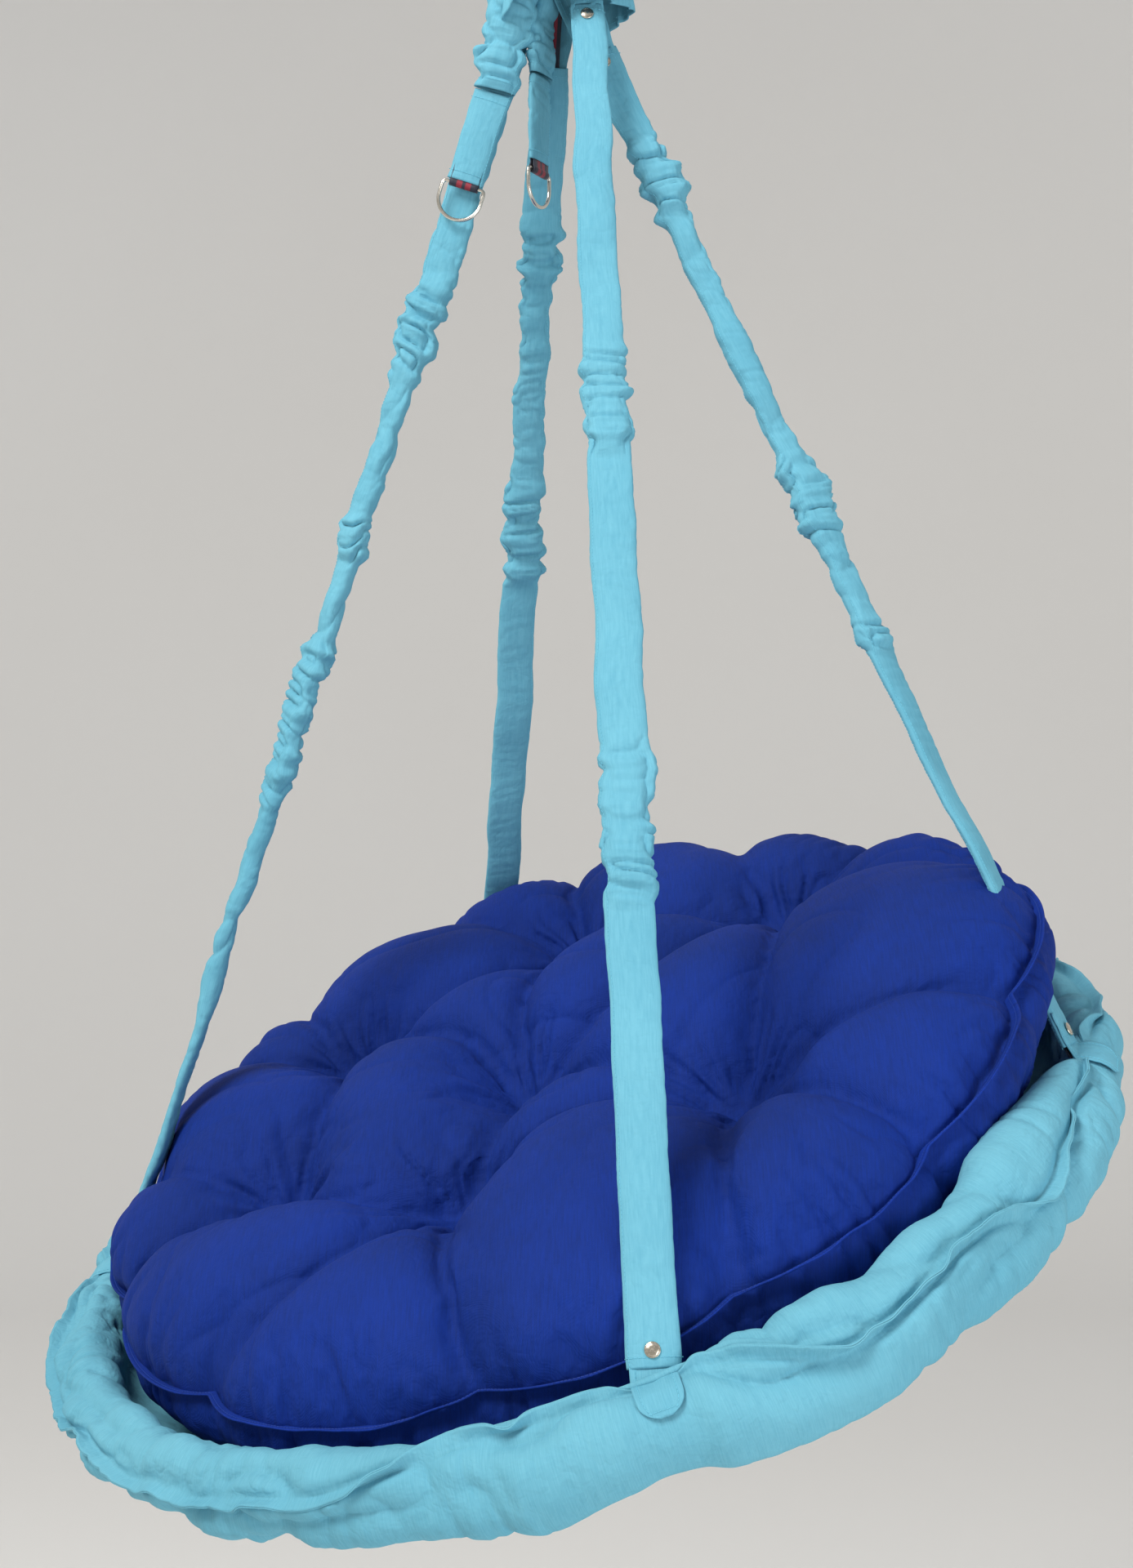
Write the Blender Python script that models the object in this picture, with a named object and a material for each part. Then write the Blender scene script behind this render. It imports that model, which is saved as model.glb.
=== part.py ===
"""Saucer nest swing: a padded steel hoop in a gathered cover, hung by four sleeved slings.

Metres, +Z up.  The origin is the hang point, where the ceiling eye bears inside the top of
the hanging hook.  +X is the swing's right and +Y its back.  The seat hangs tilted, because
the front and left slings are longer than the back and right ones.
"""

import math

import bmesh
import bpy
from mathutils import Matrix, Vector

# ---------------------------------------------------------------- driving dimensions
GAP = 0.0003                 # clearance between pieces that touch

HOOP_RADIUS = 0.525          # centre line of the steel hoop
HOOP_TUBE = 0.0125           # tube radius
HOOP_SEGMENTS = 48
FOAM_RADIUS = 0.022          # outside of the foam pipe on the hoop
FOAM_SIDES = 10
FOAM_BORE_CLEARANCE = 0.0025
FOAM_GAP = 0.004             # room each side of a sling's foot
HOOP_SIDES = 10

SEAT_DROP = 1.297            # from the front slings' apex down to the hoop's centre
SEAT_SHIFT_X = 0.016         # the hoop's centre hangs a little right of the hang point
SEAT_TILT = math.radians(24.0)
TILT_TOWARDS = math.radians(220.4)   # compass direction of the hoop's lowest point

COVER_ROOM = 0.004           # between the foam and the channel that the cover makes round it
COVER_WALL = 0.0020
COVER_LIP = 0.012            # height of the sewn ridge that joins the cover's two panels
COVER_LIP_RISE = math.radians(62.0)  # the ridge's slope, up and out from the hoop's plane
BOWL_SAG = 0.2095            # the seat cloth's depth below the hoop's plane, over its radius
COVER_LIP_AT = math.radians(12)      # the ridge's place round the foam, from its outermost point
COVER_SEAM_GAP = math.radians(5)     # between the ridge's root and the seat cloth's edge
COVER_OUTER_END = math.radians(-136) # where the outer panel meets the seat cloth from below
COVER_CLOTH_AT = math.radians(204)   # where the seat cloth leaves the foam
COVER_SLOT_ROOM = 0.003      # each side of the webbing that comes through the cover
COVER_SLOT_HEIGHT = 0.017
COVER_SLOT_DEPTH = 0.018

WEB_WIDTH = 0.030            # sling webbing
WEB_THICK = 0.002
WEB_LOOP_WIDTH = 0.018       # webbing folded narrower where it loops through a ring
WEB_TAIL_ASIDE = 0.0012      # the strap's two legs beside the middle, where an eye closes
FOOT_LEGS_OUTSIDE = 0.003    # a sling's two legs meet this far outside the cover
TOP_REACH = 0.018
WEB_FOLD_END = 0.085         # the folded webbing opens to its full width this far down

SLEEVE_ROOM = 0.007          # each side of the webbing
SLEEVE_WALL = 0.001
SLEEVE_ABOVE_COVER = 0.014   # a sleeve's lower hem above the cover
TONGUE_ROOM = 0.002          # each side of a tongue inside its sleeve
TONGUE_THICK = 0.0012
TONGUE_RIM_CLEARANCE = 0.002 # a straight tongue on the curved rim
TONGUE_ON_RIM = 0.034        # length of a lower tongue that lies on the rim
TONGUE_INSIDE = 0.034        # length of a tongue inside its sleeve
TONGUE_TOP_NARROWER = 0.004
TONGUE_TOP_SPREAD = 0.007    # the upper tongues stand off the webbing inside the top cover
TONGUE_TOP_DROP = 0.055      # front and left upper tongues end this far below the ring's bar
TONGUE_TOP_RISE = 0.010      # back and right ones end this far above their ring's bar

STUD_CAP = 0.00675           # press stud cap radius
STUD_PLATE = 0.0050
STUD_SHANK = 0.0019
STUD_INSET = 0.014           # stud centre to hem

HOOK_LENGTH = 0.060          # inside length of the hanging hook
HOOK_WIDTH = 0.024
HOOK_WIRE = 0.004
TILT_HOOK_LENGTH = 0.040
TILT_HOOK_WIDTH = 0.018
TILT_HOOK_WIRE = 0.003
RING_WIDTH = 0.078           # inside width of the hanging ring's straight bar
RING_HEIGHT = 0.050          # wire centre to wire centre
RING_WIRE = 0.0035
REAR_RING_WIDTH = 0.040
REAR_RING_HEIGHT = 0.039
REAR_RING_WIRE = 0.003

TOP_COVER_ABOVE = 0.022      # the top cover's ends, from the front slings' apex
TOP_COVER_BELOW = 0.076
TOP_COVER_NECK_ROOM = 0.032  # beside the upper tongues
TOP_COVER_ROOM = 0.0018      # round the tongues, where the slings leave the skirt
TOP_COVER_WALL = 0.002

TAB_WIDTH = 0.038
TAB_THICK = 0.0026
TAB_LENGTH = 0.096
TAB_LEFT_AT = 0.180          # from the apex down the left sling to the tab's seam
TAB_BACK_DROP = 0.150        # from the apex straight down to the back tab's seam
TAB_BACK_TURN = math.radians(62.0)
TAB_BACK_PLACE = (-0.027, 0.012)
TAB_CLEAR = 0.0085           # middle of the left tab above the sleeve that it lies on
DRING_WIRE = 0.002
DRING_WIDTH = 0.041
DRING_HEIGHT = 0.037

CUSHION_ROOM = 0.009         # between the cushion's seam and the rim
CUSHION_TAPER = 0.0686       # the foot's radius is less than the seam's by this, over the hoop's
CUSHION_GUSSET = 0.090       # height of the box edge
CUSHION_CROWN = 0.062        # crown above the top seam
CUSHION_BELLY = 0.030        # the underside's bulge below the box edge
CUSHION_SEAM_LOW = 0.0245    # top seam's lowest point above the hoop's plane
CUSHION_TIP = math.radians(7.0)
CUSHION_TIP_FROM = math.radians(65.0)   # the cushion's raised side, round the hoop
CUSHION_SHIFT = 0.004        # pushed towards its raised side
CUSHION_SEGMENTS = 48
TUFTS = ((0.030, 230), (0.215, 244), (0.275, 140), (0.289, 194), (0.265, 79), (0.325, 31),
         (0.262, 316))       # each tuft's distance from the middle and its angle in degrees
TUFT_PIT_TOP = 0.030
TUFT_PIT_FOOT = 0.013
TUFT_PIT_FLOOR = 0.008       # pit floors above the top seam's plane
BUTTON_RADIUS = 0.010
BUTTON_THICK = 0.004
SLING_CLEARANCE = 0.004      # room round a sleeve where it presses into the cushion

# name: (angle round the hoop, side of the ring bar, hangs from the rear ring, faces the back,
#        distance from the apex to the sleeve's upper hem)
SLINGS = {
    "front": (math.radians(277.0), 1, False, False, 0.098),
    "left": (math.radians(173.8), -1, False, False, 0.120),
    "back": (math.radians(102.6), -1, True, True, 0.067),
    "right": (math.radians(343.9), 1, True, False, 0.067),
}

# Layers of a sleeve's end, measured outwards from the middle of the webbing.
POST_FROM = WEB_THICK / 2 + 0.0004
BACK_ROOM = 0.0019           # inside a sleeve, behind the twisting webbing
POST_PLATE = 0.0012
TONGUE_FROM = POST_FROM + POST_PLATE + GAP
SOCKET_FROM = TONGUE_FROM + TONGUE_THICK + GAP
SOCKET_PLATE = 0.0014
WALL_FROM = SOCKET_FROM + SOCKET_PLATE + GAP
CAP_FROM = WALL_FROM + SLEEVE_WALL + GAP
CAP_THICK = 0.0024
BACK_WALL_FROM = -WEB_THICK / 2 - BACK_ROOM - SLEEVE_WALL

# ---------------------------------------------------------------- places worked out from them
RING_TOP_Z = -HOOK_LENGTH + RING_WIRE + GAP
APEX = Vector((0.0, 0.0, RING_TOP_Z - RING_HEIGHT))
TILT_HOOK_TOP_Z = APEX.z + RING_WIRE + GAP
REAR_RING_TOP_Z = TILT_HOOK_TOP_Z - TILT_HOOK_LENGTH + REAR_RING_WIRE + GAP
REAR_APEX = Vector((0.0, 0.0, REAR_RING_TOP_Z - REAR_RING_HEIGHT))
HOOP_CENTRE = APEX + Vector((SEAT_SHIFT_X, 0.0, -SEAT_DROP))
HOOP_NORMAL = Vector((math.sin(SEAT_TILT) * math.cos(TILT_TOWARDS),
                      math.sin(SEAT_TILT) * math.sin(TILT_TOWARDS),
                      math.cos(SEAT_TILT)))
HOOP_X = (Vector((1, 0, 0)) - HOOP_NORMAL * HOOP_NORMAL.x).normalized()
HOOP_Y = HOOP_NORMAL.cross(HOOP_X)
COVER_INSIDE = FOAM_RADIUS + COVER_ROOM
COVER_OUTSIDE = COVER_INSIDE + COVER_WALL
FOOT_REACH = COVER_OUTSIDE + FOOT_LEGS_OUTSIDE    # from the hoop's centre line
SLEEVE_FOOT = COVER_OUTSIDE + SLEEVE_ABOVE_COVER  # from the hoop's centre line
SLEEVE_WIDTH = WEB_WIDTH + SLEEVE_ROOM * 2
TONGUE_WIDTH = SLEEVE_WIDTH - TONGUE_ROOM * 2
CUSHION_RADIUS = HOOP_RADIUS - COVER_OUTSIDE - CUSHION_ROOM
CUSHION_FOOT_RADIUS = CUSHION_RADIUS - HOOP_RADIUS * CUSHION_TAPER
CUSHION_SEAM_HEIGHT = CUSHION_SEAM_LOW + CUSHION_RADIUS * math.sin(CUSHION_TIP)
BOWL_DEPTH = HOOP_RADIUS * BOWL_SAG
TOP_COVER_NECK = TONGUE_WIDTH / 2 + TOP_COVER_NECK_ROOM


def clear_scene():
    for item in list(bpy.data.objects):
        bpy.data.objects.remove(item, do_unlink=True)


def frame_matrix(x_axis, y_axis, z_axis, place):
    """A placement whose columns are the three given directions."""
    matrix = Matrix((x_axis, y_axis, z_axis)).transposed().to_4x4()
    matrix.translation = place
    return matrix


SEAT_FRAME = frame_matrix(HOOP_X, HOOP_Y, HOOP_NORMAL, HOOP_CENTRE)


# ---------------------------------------------------------------- materials
def material(name, colour, roughness, metallic=0.0):
    made = bpy.data.materials.get(name)
    if made is None:
        made = bpy.data.materials.new(name)
        made.use_nodes = True
        shader = made.node_tree.nodes["Principled BSDF"]
        shader.inputs["Base Color"].default_value = (*colour, 1.0)
        shader.inputs["Roughness"].default_value = roughness
        shader.inputs["Metallic"].default_value = metallic
    return made


def steel():
    return material("nickel_plated_steel", (0.62, 0.60, 0.57), 0.25, 1.0)


def turquoise():
    return material("turquoise_cotton", (0.20, 0.56, 0.68), 0.85)


def royal_blue():
    return material("royal_blue_cotton", (0.01, 0.04, 0.32), 0.8)


def webbing():
    return material("navy_webbing", (0.01, 0.01, 0.03), 0.7)


def foam():
    return material("grey_foam", (0.20, 0.20, 0.21), 0.9)


def painted():
    return material("painted_tube", (0.05, 0.05, 0.05), 0.5, 0.4)


# ---------------------------------------------------------------- building blocks
def place_object(name, mesh, finish, matrix=None, smooth=None):
    item = bpy.data.objects.new(name, mesh)
    bpy.context.scene.collection.objects.link(item)
    if finish is not None:
        mesh.materials.append(finish)
    if smooth is not None:
        mesh.shade_smooth()
        mesh.set_sharp_from_angle(angle=math.radians(smooth))
    if matrix is not None:
        item.matrix_world = matrix
    return item


def mesh_from(shape, name):
    bmesh.ops.recalc_face_normals(shape, faces=shape.faces)
    mesh = bpy.data.meshes.new(name)
    shape.to_mesh(mesh)
    shape.free()
    return mesh


def skin_loops(shape, loops, ring=False):
    """Join a row of equal loops of points with quads; returns the first and last loop."""
    rows = [[shape.verts.new(point) for point in loop] for loop in loops]
    count = len(rows[0])
    pairs = list(zip(rows, rows[1:]))
    if ring:
        pairs.append((rows[-1], rows[0]))
    for low, high in pairs:
        for i in range(count):
            j = (i + 1) % count
            shape.faces.new((low[i], low[j], high[j], high[i]))
    return rows[0], rows[-1]


def solid_sweep(loops, name):
    shape = bmesh.new()
    first, last = skin_loops(shape, loops)
    shape.faces.new(first)
    shape.faces.new(last)
    return mesh_from(shape, name)


def hollow_sweep(outer, inner, name):
    """A tube with a wall: two rows of loops joined at both open ends."""
    shape = bmesh.new()
    out_first, out_last = skin_loops(shape, outer)
    in_first, in_last = skin_loops(shape, inner)
    for rim_out, rim_in in ((out_first, in_first), (out_last, in_last)):
        count = len(rim_out)
        for i in range(count):
            j = (i + 1) % count
            shape.faces.new((rim_out[i], rim_out[j], rim_in[j], rim_in[i]))
    return mesh_from(shape, name)


def turned(profile, segments, name):
    """Revolve a closed outline of (radius, height) points about +Z; radius 0 makes a pole."""
    shape = bmesh.new()
    rows = []
    for radius, height in profile:
        if radius < 1e-9:
            rows.append([shape.verts.new((0, 0, height))])
            continue
        turns = [2 * math.pi * k / segments for k in range(segments)]
        rows.append([shape.verts.new((radius * math.cos(a), radius * math.sin(a), height))
                     for a in turns])
    for low, high in zip(rows, rows[1:] + rows[:1]):
        if len(low) == 1 and len(high) == 1:
            continue
        for i in range(segments):
            j = (i + 1) % segments
            if len(low) == 1:
                shape.faces.new((low[0], high[j], high[i]))
            elif len(high) == 1:
                shape.faces.new((low[i], low[j], high[0]))
            else:
                shape.faces.new((low[i], low[j], high[j], high[i]))
    return mesh_from(shape, name)


def wire_loop(path, radius, sides, name, closed=True):
    """A round wire along a flat path in the XZ plane."""
    count = len(path)
    loops = []
    for k, point in enumerate(path):
        before = path[k - 1] if closed or k > 0 else point
        after = path[(k + 1) % count] if closed or k < count - 1 else point
        along = (after - before).normalized()
        across = along.cross(Vector((0, 1, 0))).normalized()
        lean = 1.0
        if before is not point and after is not point:
            lean = max(0.5, (after - point).normalized().dot(along))
        loop = []
        for s in range(sides):
            turn = 2 * math.pi * (s + 0.5) / sides
            loop.append(point + across * (radius * math.cos(turn) / lean)
                        + Vector((0, 1, 0)) * (radius * math.sin(turn)))
        loops.append(loop)
    shape = bmesh.new()
    first, last = skin_loops(shape, loops, ring=closed)
    if not closed:
        shape.faces.new(first)
        shape.faces.new(last)
    return mesh_from(shape, name)


def hide_tool(item):
    item.hide_render = True
    item.display_type = 'WIRE'
    return item


def boolean(item, tool, operation='DIFFERENCE'):
    change = item.modifiers.new(tool.name, 'BOOLEAN')
    change.object = tool
    change.operation = operation
    change.solver = 'EXACT'


def rod_mesh(radius, low, high, segments, name):
    return turned([(0, low), (radius, low), (radius, high), (0, high)], segments, name)


# ---------------------------------------------------------------- a sling's line and layers
class SlingLine:
    """The straight run of one sling, with its width and outward directions along it."""

    def __init__(self, name):
        angle, side, rear, faces_back, self.sleeve_top = SLINGS[name]
        self.name = name
        self.radial = HOOP_X * math.cos(angle) + HOOP_Y * math.sin(angle)
        self.foot = HOOP_CENTRE + self.radial * HOOP_RADIUS
        ring_width = REAR_RING_WIDTH if rear else RING_WIDTH
        self.bar = REAR_RING_WIRE if rear else RING_WIRE
        apex = REAR_APEX if rear else APEX
        self.top = apex + Vector((side * ring_width / 4, 0, 0))
        self.length = (self.top - self.foot).length
        self.up = (self.top - self.foot).normalized()
        back = 1 if faces_back else -1
        self.top_out = self.square(Vector((0, back, 0)))
        self.tangent = HOOP_NORMAL.cross(self.radial)
        self.foot_out = self.tangent.cross(self.up).normalized()
        if self.foot_out.dot(self.radial) < 0:
            self.foot_out = -self.foot_out
            self.tangent = -self.tangent
        self.foot_along = self.foot_out.cross(self.tangent).normalized()
        if self.foot_along.dot(self.up) < 0:
            self.foot_along = -self.foot_along
        self.slant = self.up.dot(self.tangent) / self.up.dot(self.foot_along)

    def square(self, direction):
        return (direction - self.up * direction.dot(self.up)).normalized()

    def out(self, height):
        """Outward direction of the webbing's face at a height above the foot."""
        share = min(1.0, max(0.0, (height / self.length - 0.12) / 0.76))
        share = share * share * (3 - 2 * share)
        turn = self.foot_out.angle(self.top_out)
        if self.foot_out.cross(self.top_out).dot(self.up) < 0:
            turn = -turn
        return Matrix.Rotation(turn * share, 3, self.up) @ self.foot_out

    def across(self, height):
        return self.up.cross(self.out(height)).normalized()

    def beside_foot(self, reach):
        """The point on the hoop's centre line under the strap at a reach from that line."""
        return self.foot + self.tangent * (self.slant * reach)

    def point(self, height, outward=0.0):
        return self.foot + self.up * height + self.out(height) * outward

    def section(self, height, half_width, low, high):
        centre, out, across = self.point(height), self.out(height), self.across(height)
        corners = ((-half_width, low), (half_width, low), (half_width, high), (-half_width, high))
        return [centre + across * a + out * o for a, o in corners]

    def oval(self, height, half_width, low, high):
        """A flat tube's section with its corners cut."""
        cut = min(half_width, (high - low) / 2) * 0.45
        shape = ((-half_width + cut, low), (half_width - cut, low), (half_width, low + cut),
                 (half_width, high - cut), (half_width - cut, high), (-half_width + cut, high),
                 (-half_width, high - cut), (-half_width, low + cut))
        centre, out, across = self.point(height), self.out(height), self.across(height)
        return [centre + across * a + out * o for a, o in shape]


def teardrop(radius, reach, steps):
    """Half of a webbing eye in (along, aside) coordinates: round a bar, then to the strap."""
    lean = math.acos(radius / reach)
    turns = [lean + (2 * math.pi - 2 * lean) * k / steps for k in range(steps + 1)]
    arc = [(radius * math.cos(a), radius * math.sin(a)) for a in turns]
    tail_aside = WEB_THICK * 0.5 + WEB_TAIL_ASIDE
    first = arc[0]
    share = 1 - tail_aside / first[1]
    tail = (first[0] + (reach - first[0]) * share, tail_aside)
    return [tail] + arc


def build_sling(line):
    """One length of webbing: round the hoop tube, up, and round the ring's bar."""
    half_reach = WEB_WIDTH / 2 + abs(line.slant) * FOOT_REACH
    curve = half_reach ** 2 / (2 * HOOP_RADIUS)
    flats = HOOP_RADIUS * (1 - math.cos(math.pi / HOOP_SEGMENTS))
    foot_radius = HOOP_TUBE + GAP + curve + flats + WEB_THICK / 2
    top_radius = line.bar + GAP * 2 + WEB_THICK / 2
    tangent = line.tangent
    if tangent.dot(line.across(0.0)) < 0:
        tangent = -tangent
    eye_centre = line.beside_foot(FOOT_REACH)
    stations = []
    for along, aside in teardrop(foot_radius, FOOT_REACH, 16):
        place = eye_centre + line.foot_along * along - line.foot_out * aside
        stations.append((place, tangent, WEB_WIDTH))
    start = FOOT_REACH / line.up.dot(line.foot_along)
    steps = 10 + round(14 * line.foot_out.angle(line.top_out) / (math.pi / 2))
    for k in range(steps + 1):
        height = start + (line.length - TOP_REACH - start) * k / steps
        across = tangent if k == 0 else line.across(height)
        stations.append((line.point(height), across, WEB_WIDTH))
    fold = line.length - min(WEB_FOLD_END, line.sleeve_top - STUD_INSET)
    stations = [s for s in stations if (s[0] - line.foot).dot(line.up) < fold - 0.004]
    stations.append((line.point(fold), line.across(fold), WEB_WIDTH))
    for height in (fold + WEB_LOOP_WIDTH, line.length - TOP_REACH):
        stations.append((line.point(height), line.across(height), WEB_LOOP_WIDTH))
    bar = Vector((1, 0, 0))
    if bar.dot(line.across(line.length)) < 0:
        bar = -bar
    down = -(line.up - bar * line.up.dot(bar)).normalized()
    aside_dir = down.cross(bar).normalized()
    for along, aside in reversed(teardrop(top_radius, TOP_REACH, 10)):
        place = line.top + down * along + aside_dir * aside
        stations.append((place, bar, WEB_LOOP_WIDTH))
    loops = []
    for k, (place, across, width) in enumerate(stations):
        before = stations[max(k - 1, 0)][0]
        after = stations[min(k + 1, len(stations) - 1)][0]
        along = (after - before).normalized()
        face = along.cross(across).normalized() * (WEB_THICK / 2)
        wide = across * (width / 2)
        loops.append([place - wide - face, place + wide - face, place + wide + face,
                      place - wide + face])
    return place_object("sling_" + line.name, solid_sweep(loops, "sling"), webbing())


def stud_holes(line, heights, low, high, name):
    """Two short rods that cut the press studs' holes at a sleeve's ends."""
    tools = []
    for k, height in enumerate(heights):
        out = line.out(height)
        across = line.across(height)
        matrix = frame_matrix(across, out.cross(across), out, line.point(height))
        mesh = rod_mesh(STUD_SHANK + GAP, low, high, 12, "hole")
        tools.append(hide_tool(place_object(f"{name}_{k}", mesh, None, matrix)))
    return tools


def build_sleeve(line):
    """A flat cloth tube over the webbing, with a press stud through its front at each end."""
    top = line.length - line.sleeve_top
    steps = 8 + round(26 * line.foot_out.angle(line.top_out) / (math.pi / 2))
    heights = [SLEEVE_FOOT + (top - SLEEVE_FOOT) * k / steps for k in range(steps + 1)]
    low, high = BACK_WALL_FROM, WALL_FROM + SLEEVE_WALL
    wall = SLEEVE_WALL
    outer = [line.oval(h, SLEEVE_WIDTH / 2, low, high) for h in heights]
    inner = [line.oval(h, SLEEVE_WIDTH / 2 - wall, low + wall, high - wall) for h in heights]
    item = place_object("sleeve_" + line.name, hollow_sweep(outer, inner, "sleeve"), turquoise())
    ends = (SLEEVE_FOOT + STUD_INSET, top - STUD_INSET)
    for tool in stud_holes(line, ends, WALL_FROM - GAP, high + GAP, "sleeve_hole_" + line.name):
        boolean(item, tool)
    return item


def build_studs(line):
    """The cap and socket through each sleeve end, and the post through the tongue under it."""
    top = line.length - line.sleeve_top
    for place, height in (("lower", SLEEVE_FOOT + STUD_INSET), ("upper", top - STUD_INSET)):
        out = line.out(height)
        across = line.across(height)
        matrix = frame_matrix(across, out.cross(across), out, line.point(height))
        dome = CAP_FROM + CAP_THICK
        cap = [(0, SOCKET_FROM), (STUD_PLATE, SOCKET_FROM),
               (STUD_PLATE, SOCKET_FROM + SOCKET_PLATE), (STUD_SHANK, SOCKET_FROM + SOCKET_PLATE),
               (STUD_SHANK, CAP_FROM), (STUD_CAP, CAP_FROM), (STUD_CAP, CAP_FROM + 0.0009),
               (STUD_CAP * 0.86, dome - 0.0006), (STUD_CAP * 0.5, dome - 0.0001), (0, dome)]
        place_object(f"stud_cap_{line.name}_{place}", turned(cap, 12, "stud_cap"), steel(),
                     matrix, smooth=40)
        post = [(0, POST_FROM), (STUD_PLATE, POST_FROM), (STUD_PLATE, POST_FROM + POST_PLATE),
                (STUD_SHANK, POST_FROM + POST_PLATE), (STUD_SHANK, SOCKET_FROM - GAP),
                (0, SOCKET_FROM - GAP)]
        place_object(f"stud_post_{line.name}_{place}", turned(post, 12, "stud_post"), steel(),
                     matrix, smooth=40)


def ribbon(stations, width, thick, name):
    """A flat strip through (centre, across, face) stations."""
    loops = []
    for centre, across, face in stations:
        wide, deep = across * (width / 2), face * (thick / 2)
        loops.append([centre - wide - deep, centre + wide - deep, centre + wide + deep,
                      centre - wide + deep])
    return solid_sweep(loops, name)


def build_tongues(line):
    """The lower tongue lies on the rim; the upper one runs up inside the top cover."""
    middle = TONGUE_FROM + TONGUE_THICK / 2
    stations = []
    for height in (SLEEVE_FOOT + TONGUE_INSIDE, SLEEVE_FOOT + 0.006):
        stations.append((line.point(height, middle), line.across(height), line.out(height)))
    tangent = line.tangent if line.tangent.dot(line.across(0.0)) > 0 else -line.tangent
    radius = COVER_OUTSIDE + TONGUE_RIM_CLEARANCE + TONGUE_THICK / 2
    centre = line.beside_foot(radius)
    start = math.asin(middle / radius) * 1.2
    for k in range(6):
        turn = start + (TONGUE_ON_RIM / radius) * k / 5
        face = line.foot_along * math.cos(turn) + line.foot_out * math.sin(turn)
        stations.append((centre + face * radius, tangent, face))
    lower = place_object("tongue_" + line.name + "_lower",
                         ribbon(stations, TONGUE_WIDTH, TONGUE_THICK, "tongue"), turquoise())
    top = line.length - line.sleeve_top
    spread = middle + TONGUE_TOP_SPREAD
    rear = line.bar == REAR_RING_WIRE
    end = line.length + (TONGUE_TOP_RISE if rear else -TONGUE_TOP_DROP)
    rows = ((top - TONGUE_INSIDE, middle), (top + 0.004, middle),
            (min(top + 0.030, end - 0.006), spread), (end, spread))
    stations = [(line.point(h, o), line.across(h), line.out(h)) for h, o in rows]
    upper = place_object("tongue_" + line.name + "_upper",
                         ribbon(stations, TONGUE_WIDTH - TONGUE_TOP_NARROWER, TONGUE_THICK,
                                "tongue"),
                         turquoise())
    ends = (SLEEVE_FOOT + STUD_INSET, top - STUD_INSET)
    low, high = TONGUE_FROM - GAP, TONGUE_FROM + TONGUE_THICK + GAP
    tools = stud_holes(line, ends, low, high, "tongue_hole_" + line.name)
    boolean(lower, tools[0])
    boolean(upper, tools[1])


# ---------------------------------------------------------------- hanging hardware
def build_hook(prefix, length, width, wire, top_z, turn):
    """An oval snap hook: bent wire body, sprung gate and the pin that the gate turns on.

    The body's wire stops short on one long side, where the gate closes it.
    """
    half = width / 2 + wire
    straight = length / 2 + wire - half
    centre = top_z - length / 2
    gate_low, gate_high = -straight * 0.9, straight * 0.9
    path = [Vector((half, 0, gate_low - wire * 0.4)), Vector((half, 0, -straight))]
    path += [Vector((half * math.cos(a), 0, -straight + half * math.sin(a)))
             for a in (-math.pi * k / 10 for k in range(1, 10))]
    path += [Vector((-half, 0, -straight)), Vector((-half, 0, straight))]
    path += [Vector((half * math.cos(a), 0, straight + half * math.sin(a)))
             for a in (math.pi - math.pi * k / 10 for k in range(1, 10))]
    path += [Vector((half, 0, straight)), Vector((half, 0, gate_high))]
    matrix = Matrix.Translation((0, 0, centre)) @ Matrix.Rotation(turn, 4, 'Z')
    body = place_object(prefix, wire_loop(path, wire, 10, "hook", closed=False), steel(), matrix,
                        smooth=50)
    pin_z = gate_low + wire * 1.2
    ear_half = wire * 0.35
    ear = bmesh.new()
    bmesh.ops.create_cube(ear, size=1.0)
    bmesh.ops.scale(ear, verts=ear.verts, vec=(wire * 1.3, ear_half * 2, wire * 3.6))
    bmesh.ops.translate(ear, verts=ear.verts, vec=(half, 0, gate_low + wire * 0.6))
    ear_tool = hide_tool(place_object(prefix + "_ear", mesh_from(ear, "ear"), None, matrix))
    boolean(body, ear_tool, 'UNION')
    across = Matrix.Translation((half, 0, pin_z)) @ Matrix.Rotation(math.pi / 2, 4, 'X')
    pin_radius = wire * 0.3
    hole = rod_mesh(pin_radius + GAP, -wire * 2, wire * 2, 12, "pin_hole")
    hole_tool = hide_tool(place_object(prefix + "_pin_hole", hole, None, matrix @ across))
    boolean(body, hole_tool)
    place_object(prefix + "_pin", rod_mesh(pin_radius, -wire * 1.05, wire * 1.05, 12, "pin"),
                 steel(), matrix @ across, smooth=40)
    low = gate_low + wire * 0.1 - pin_z
    high = gate_high - GAP * 2 - pin_z
    rod = [(0, low), (wire * 0.8, low), (wire * 0.95, low + wire * 0.2),
           (wire * 0.95, high), (0, high)]
    gate_matrix = matrix @ Matrix.Translation((half, 0, pin_z))
    gate = place_object(prefix + "_gate", turned(rod, 12, "gate"), steel(), gate_matrix,
                        smooth=40)
    slot = bmesh.new()
    bmesh.ops.create_cube(slot, size=1.0)
    slot_low = low - wire
    slot_high = wire * 2.2
    bmesh.ops.scale(slot, verts=slot.verts,
                    vec=(wire * 3, ear_half * 2 + GAP * 3, slot_high - slot_low))
    bmesh.ops.translate(slot, verts=slot.verts, vec=(0, 0, (slot_high + slot_low) / 2))
    slot_tool = hide_tool(place_object(prefix + "_slot", mesh_from(slot, "slot"), None,
                                       gate_matrix))
    boolean(gate, slot_tool)
    boolean(gate, hole_tool)


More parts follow.
